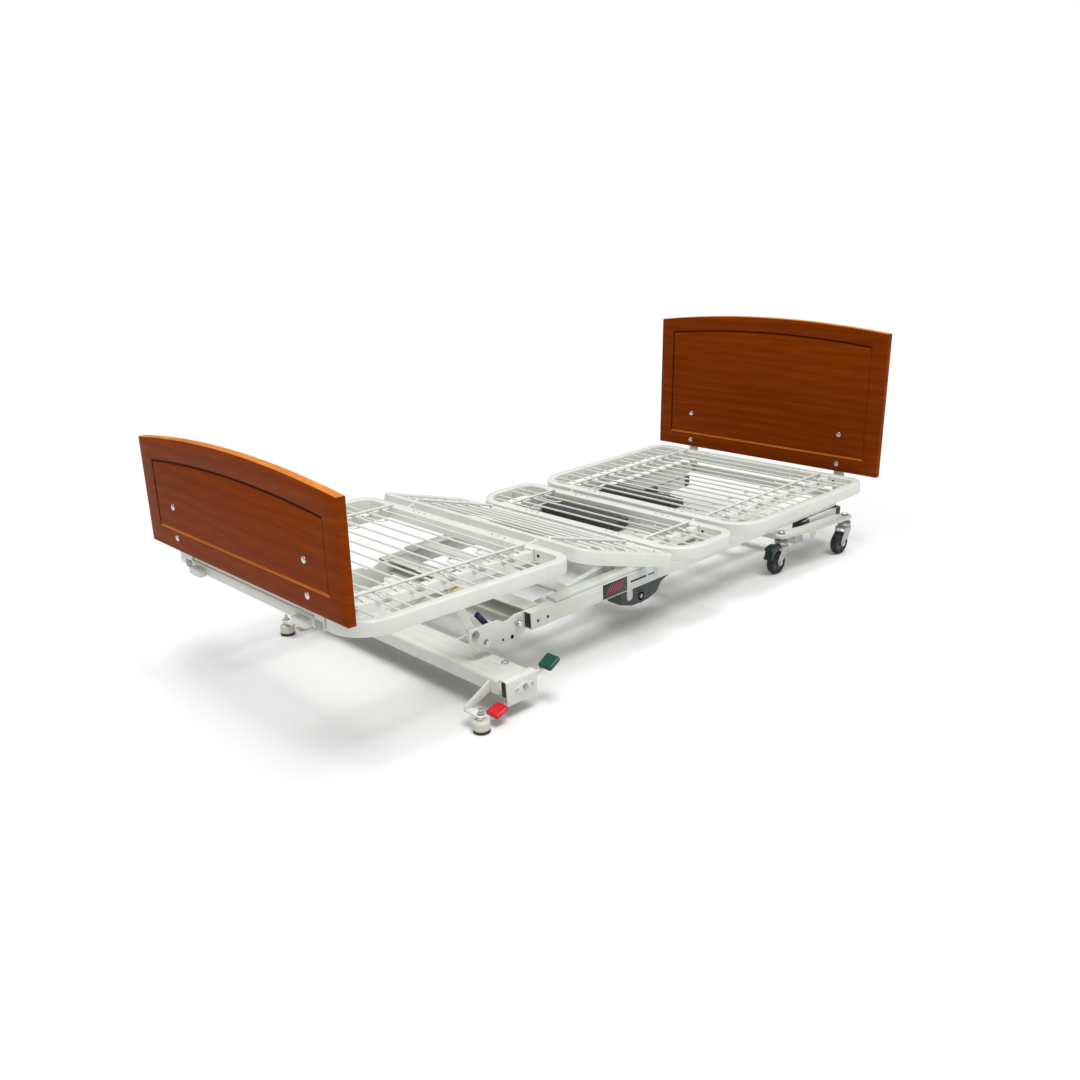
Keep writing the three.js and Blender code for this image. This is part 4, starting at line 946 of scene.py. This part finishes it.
def release_lever():
    """Flat steel lever with a dipped grip sleeve."""
    piece = Piece("release_lever_bar", "release_lever", "navy_plastic", [NAVY, ZINC], "release_lever")
    x, z = LEVER_PIVOT
    y0 = -(BRACKET_Y - 15)
    bar = strip([(x + 5, z - 4), (x - 22, z + 14), (x - 55, z + 38), (x - 72, z + 54)], [6, 6, 6, 5])
    piece.prism(bar, "y", y0, y0 + 5, 0.8, 1)
    piece.pin("y", (x, 0, z), 5.8, y0 - 15, y0 + 1, 20, 1)
    piece.pin("y", (x, 0, z), 10, y0, y0 + 5, 24, 1)
    path = smooth_path([(x - 64, y0 + 7, z + 46), (x - 80, y0 + 7, z + 66), (x - 97, y0 + 7, z + 87)], 10)
    grip = rounded_ring(16.4, 13.4, 6, 4)
    piece.sweep(path, grip, up=(0, 1, 0))
    tip = path[-1]
    tangent = (path[-1] - path[-2]).normalized()
    for size, ahead in ((0.92, 1.5), (0.7, 3.0)):
        piece.sweep([tip, tip + tangent * ahead], [(u * size, v * size) for u, v in grip], up=(0, 1, 0))
    piece.done()


def rail_trim(side, sign):
    """Plain label plates on a main rail, with its fixing holes as black discs and a black plug just inside
    its open end, both painted shade for the tube's dark inside.
    """
    piece = Piece(f"rail_trim_{side}", "main_frame", "paint",
                  [LABEL_DARK, LABEL_LIGHT, LABEL_RED, LABEL_BLUE, BLACK])
    face = sign * MAIN_RAIL.outer_y
    out = face + sign * 0.5
    piece.box((908, 1008), (face, out), (149.5, 192.5), 0.2)
    piece.box((1012, 1137), (face, out), (149.5, 192.5), 0.2, 1)
    ink = out + sign * 0.12
    for k in range(6):
        stroke = shifted([(0, 157 + k), (3.5, 157 + k), (24, 186), (19, 186)], 920 + 11 * k)
        piece.prism(stroke, "y", out, ink, 0, 2)
    piece.box((1022, 1090), (out, ink), (168, 174), 0.05, 4)
    piece.box((1098, 1126), (out, ink), (168, 174), 0.05, 3)
    inner = face - sign * MAIN_RAIL.width
    # Black plug just inside the open end: painted shade for the hollow rail's dark inside
    piece.box((MAIN_RAIL.x0 + 1, MAIN_RAIL.x0 + 6), (face - sign * 2.5, inner + sign * 2.5),
              (MAIN_RAIL.z0 + 2.5, MAIN_RAIL.z1 - 2.5), 0.5, 4)
    # Fixing holes drawn as black discs: painted shade for the holes' dark inside
    for x in (MAIN_RAIL.x0 + 24, MAIN_RAIL.x0 + 60):
        piece.pin("y", (x, 0, MAIN_RAIL.z0 + 20), 4.6, face - sign * 2, face + sign * 0.1, 18, 4)
    piece.done()


def lift_motor(end, x0, sign):
    """Gear motor housing: stepped shell with a parting seam, a round gear cover, ribs and a strap."""
    piece = Piece(f"lift_motor_shell_{end}", "main_frame", "dark_plastic", [DARK_PLASTIC, ZINC, PAINT],
                  f"lift_motor_{end}")
    z1 = MAIN_RAIL.z0 - 0.3
    shell = shifted([(0, z1), (4, 96), (14, 84), (60, 69), (76, 67.5), (120, 67.5), (134, 69.5), (168, 79),
                     (178, 88), (190, 106), (202, 116), (226, 124), (226, z1)], x0)
    outer = sign * 306
    piece.prism(shell, "y", sign * 246, outer - sign * 5, 5, segments=3)
    inset = [(x + (4 if x < x0 + 100 else -4), z + (3.5 if z < 110 else -1.5)) for x, z in shell]
    piece.prism(inset, "y", outer - sign * 8, outer - sign * 1.2, 2.5, segments=3)
    cover = [(0, -sign * 3), (21, -sign * 3), (22, -sign), (22, 0), (20, sign * 0.9), (14, sign), (13, 0),
             (0, 0)]
    gear = (x0 + 96, outer - sign * 1.2, 92)
    piece.lathe(cover, "y", gear, 40)
    piece.bolt("y", gear, sign, 5, 3.0, 1)
    for k in range(4):
        x = x0 + 140 + 14 * k
        piece.box((x, x + 4), (outer - sign * 2, outer - sign * 0.4), (112, 138), 0.8)
    strap = shifted([(34, z1), (34, 100), (40, 92), (52, 92), (58, 100), (58, z1)], x0)
    piece.prism(strap, "y", outer - sign * 1.6, outer, 0.6, 2)
    piece.done()


def actuator(section, x0, x1):
    """Flat actuator body with end cap, ribs and seam under the deck wires."""
    node = f"{section}_actuator"
    piece = Piece(f"{node}_body", "carriage", "dark_plastic", [DARK_PLASTIC, ZINC], node)
    y0, y1 = -60, 270
    z0, z1 = 205.8, 232
    piece.box((x0, x1), (y0 + 34, y1), (z0, z1), 5, segments=3)
    piece.box((x0 + 3, x1 - 3), (y0, y0 + 32), (z0 + 1, z1 - 1), 4, segments=3)
    piece.box((x0 + 5, x1 - 5), (y0 + 30, y0 + 36), (z0 + 3, z1 - 3), 1)
    for k in range(5):
        y = y0 + 60 + 42 * k
        piece.box((x0 + 8, x1 - 8), (y, y + 5), (z1 - 1, z1 + 1.4), 0.8)
    for x in (x0 + 10, x1 - 10):
        for y in (y0 + 46, y1 - 12):
            screw = [(0, -1), (3.6, -1), (3.6, 0.8), (1.6, 1.2), (0, 0.2)]
            piece.lathe(screw, "z", (x, y, z1), 16, 1)
    piece.done()


for side, sign in SIDES:
    hinge_bracket(side, sign)
    support_arm(side, sign)
    support_roller(side, sign)
    rail_trim(side, sign)
release_lever()
lift_motor("foot", 1015, -1)
lift_motor("head", 1180, 1)
actuator("knee", 1256, 1334)
actuator("back", 1540, 1610)


# -------- head base and casters
CASTERS = (("a", 1755, 350, True), ("b", 2055, 398, False))
CASTER_TOP = 118
SIDE_TUBE = SimpleNamespace(x0=1870, x1=2100, y0=316, y1=352, z0=104, z1=142)
WHEEL_RADIUS = 38
TRAIL = 26


def tube_caps():
    piece = Piece("side_tube_caps", "head_base", "dark_plastic", [BLACK])
    t = SIDE_TUBE
    for _, sign in SIDES:
        y = (sign * (t.y0 - 0.6), sign * (t.y1 + 0.6))
        for x in ((t.x0 - 4.5, t.x0 + 44), (t.x1 - 26, t.x1 + 4.5)):
            piece.box(x, y, (t.z0 - 0.6, t.z1 + 0.6), 3)
    piece.done()


def caster_plate(side, sign):
    """Dog-leg plate that carries two casters, with folded edges, nuts and a gusset."""
    piece = Piece(f"caster_outrigger_{side}", "head_base", "paint", [PAINT, CHROME], f"caster_plate_{side}")
    (_, ax, ay, _), (_, bx, by, _) = CASTERS
    weld_y = SIDE_TUBE.y1
    vx, vy = 1880, weld_y + 26
    half = 24
    outline = [*arc(ax, -ay, half, 79, 259, 14), (vx - 10, -vy - half), (vx + 10, -vy - half + 1),
               *arc(bx, -by, half, 270, 450, 14), (vx + 8, -weld_y - 0.3), (vx - 12, -weld_y - 0.3)]
    outline = [(x, -sign * y) for x, y in outline]
    piece.prism(outline, "z", CASTER_TOP, CASTER_TOP + 12, 2.5, segments=3)
    gusset = [(-20, CASTER_TOP + 1), (30, CASTER_TOP + 1), (26, 100), (20, 84), (12, 84), (0, 104)]
    piece.prism(shifted(gusset, vx), "y", sign * (vy - 2), sign * (vy + 6), 1)
    piece.done()


def caster_fork(tag, x, y):
    """Pressed fork with a double raceway, stem nut, curved cheeks and an axle bolt."""
    body = f"caster_fork_{tag}"
    piece = Piece(f"fork_{tag}", body, "zinc", [ZINC, CHROME], body)
    race = [(0, 93), (16, 93), (20.5, 94.5), (22, 97.5), (22, 101), (20.8, 102.2), (22, 103.4), (22, 106.5),
            (20, 109.5), (15, 111), (12, 112.5), (12, CASTER_TOP - 0.3), (0, CASTER_TOP - 0.3)]
    piece.lathe(race, "z", (x, y, 0), 40)
    piece.pin("z", (x, y, 0), 6, 116, 136, 20, 1)
    piece.bolt("z", (x, y, CASTER_TOP + 12.3), 1, 9.5, 7.5, 1)
    hx, hz = x - TRAIL, WHEEL_RADIUS
    piece.box((x - 22, x + 15), (y - 19, y + 19), (86.5, 94), 3, segments=3)
    cheek = shifted([(15, 93), (15, 80), (9, 66), (-4, 52), *arc(-TRAIL, hz, 11, 25, -160, 10), (-40, 46),
                     (-34, 62), (-24, 76), (-22, 93)], x)
    for side_sign in (-1, 1):
        piece.prism(cheek, "y", y + side_sign * 19, y + side_sign * 16, 0.9)
        piece.bolt("y", (hx, y + side_sign * 19, hz), side_sign, 6.5, 3.0, 1, washer=False)
    piece.pin("y", (hx, 0, hz), 4, y - 20, y + 20, 16, 1)
    piece.done()


def caster_wheel(tag, x, y):
    """Soft tyre on a moulded hub with a stepped web and a bearing cover."""
    body = f"caster_wheel_{tag}"
    piece = Piece(f"wheel_{tag}", body, "wheel_rubber", [TYRE, HUB, ZINC], body)
    centre = (x - TRAIL, y, WHEEL_RADIUS)
    tyre = [(26, 8), (28, 11.2), (31, 12.4), (34, 12.2), (36.2, 10.6), (37.4, 8), (38, 4), (38, 0)]
    piece.lathe(mirrored(tyre), "y", centre, 56)
    hub = [(4.5, 14), (10, 14), (12, 13), (12.5, 9), (14, 7), (22, 7), (24, 8.6), (27, 9.2), (28, 7), (28, 0)]
    piece.lathe(mirrored(hub), "y", centre, 48, 1)
    for face in (-1, 1):
        cover = [(r, face * along) for r, along in ((4.6, 13.9), (9, 13.9), (8.4, 14.6), (4.6, 14.6))]
        piece.lathe(cover, "y", centre, 32, 2)
    piece.done(SMOOTH_ROUND)


def brake_pedal(tag, x, y):
    """Two-lobed brake pedal: an upper press pad and a lower hook over the wheel."""
    body = f"brake_pedal_{tag}"
    piece = Piece(f"brake_{tag}", body, "green_plastic", [GREEN_DARK], body)
    hx, hz = x - TRAIL, WHEEL_RADIUS
    inner = arc(hx, hz, 44, 176, 92, 12)
    top = [(-24, 95.5), (-30, 99), (-40, 101.5), (-50, 100), (-66, 98), (-73.5, 94), (-74, 88), (-68, 82),
           (-71, 70), (-77.5, 62), (-76, 56)]
    outline = shifted(top, x) + [p for p in inner if p[1] > 56 and p[0] < x - 26]
    piece.prism(outline, "y", y - 15, y + 15, 2.2, segments=3)
    for k in range(4):
        yy = y - 9 + 6 * k
        piece.box((x - 64, x - 44), (yy - 1.1, yy + 1.1), (98.4, 100.6), 0.5)
    piece.done()


tube_caps()
for side, sign in SIDES:
    caster_plate(side, sign)
    for letter, x, reach, braked in CASTERS:
        tag = f"{letter}_{side}"
        caster_fork(tag, x, sign * reach)
        caster_wheel(tag, x, sign * reach)
        if braked:
            brake_pedal(tag, x, sign * reach)

# CAD nodes whose shape is right keep it, with rounded edges and a finish
for node in ("main_rail_near", "main_rail_far", "foot_channel", "pivot_tube_foot", "pivot_tube_head",
             "carriage_frame", "head_base", "foot_leg", "head_leg"):
    keep(node, PAINT)


# -------- floor, light and camera
def floor():
    """A wide pale floor."""
    mesh = bpy.data.meshes.new("studio_floor")
    part = bmesh.new()
    bmesh.ops.create_grid(part, x_segments=8, y_segments=8, size=40)
    part.to_mesh(mesh)
    part.free()
    m = Nodes("studio_floor")
    m.set(Base_Color=m.ramp(m.noise(0.6, 2), (0.3, (0.80, 0.80, 0.80)), (0.7, (0.83, 0.83, 0.83))))
    m.set(Roughness=0.9, Specular_IOR_Level=0.1)
    mesh.materials.append(m.material)
    add_object("studio_floor", mesh)


def sun(name, direction, strength, angle):
    data = bpy.data.lights.new(name, "SUN")
    data.energy = strength
    data.angle = math.radians(angle)
    obj = add_object(name, data)
    obj.rotation_mode = "QUATERNION"
    obj.rotation_quaternion = Vector(direction).to_track_quat("-Z", "Y")


def world():
    made = bpy.data.worlds.new("studio")
    bpy.context.scene.world = made
    made.use_nodes = True
    tree = made.node_tree
    background = tree.nodes["Background"]
    coords = tree.nodes.new("ShaderNodeTexCoord")
    split = tree.nodes.new("ShaderNodeSeparateXYZ")
    tree.links.new(coords.outputs["Generated"], split.inputs[0])
    ramp = tree.nodes.new("ShaderNodeValToRGB")
    tree.links.new(split.outputs["Z"], ramp.inputs["Fac"])
    elements = ramp.color_ramp.elements
    elements[0].position, elements[0].color = 0.0, (0.05, 0.053, 0.052, 1)
    elements[1].position, elements[1].color = 0.9, (0.74, 0.74, 0.74, 1)
    lit = tree.nodes.new("ShaderNodeLightPath")
    seen = tree.nodes.new("ShaderNodeMix")
    seen.data_type = "RGBA"
    tree.links.new(lit.outputs["Is Camera Ray"], seen.inputs["Factor"])
    tree.links.new(ramp.outputs["Color"], seen.inputs[6])
    seen.inputs[7].default_value = (1, 1, 1, 1)
    tree.links.new(seen.outputs[2], background.inputs["Color"])
    background.inputs["Strength"].default_value = 1.0


floor()
world()
sun("overhead", (0.06, 0.30, -1), 2.35, 30)
sun("fill", (0.75, 0.45, -0.5), 0.10, 60)

CAMERA_POSITION = (-1076.25, -2243.87, 1243.53)
AZIMUTH = math.radians(-41.16)
ELEVATION = math.radians(20.69)
ROLL = math.radians(-3.12)
FOCAL = 1055.07
PRINCIPAL = (514.92, 584.65)
IMAGE = 1080


def camera():
    data = bpy.data.cameras.new("camera")
    data.sensor_width = 36
    data.lens = FOCAL / IMAGE * 36
    data.shift_x = (IMAGE / 2 - PRINCIPAL[0]) / IMAGE
    data.shift_y = (PRINCIPAL[1] - IMAGE / 2) / IMAGE
    back = Vector((math.sin(AZIMUTH) * math.cos(ELEVATION), -math.cos(AZIMUTH) * math.cos(ELEVATION),
                   math.sin(ELEVATION)))
    right = (-back).cross(Vector((0, 0, 1))).normalized()
    up = right.cross(-back)
    turned_right = right * math.cos(ROLL) + up * math.sin(ROLL)
    turned_up = up * math.cos(ROLL) - right * math.sin(ROLL)
    turn = Matrix((turned_right, turned_up, back)).transposed()
    data.clip_start = 0.05
    data.clip_end = 200
    obj = add_object("camera", data)
    obj.matrix_world = Matrix.Translation(ROW @ Vector(CAMERA_POSITION)) @ turn.to_4x4()
    bpy.context.scene.camera = obj


camera()
bpy.context.scene.view_settings.view_transform = "Standard"
bpy.context.scene.view_settings.look = "None"
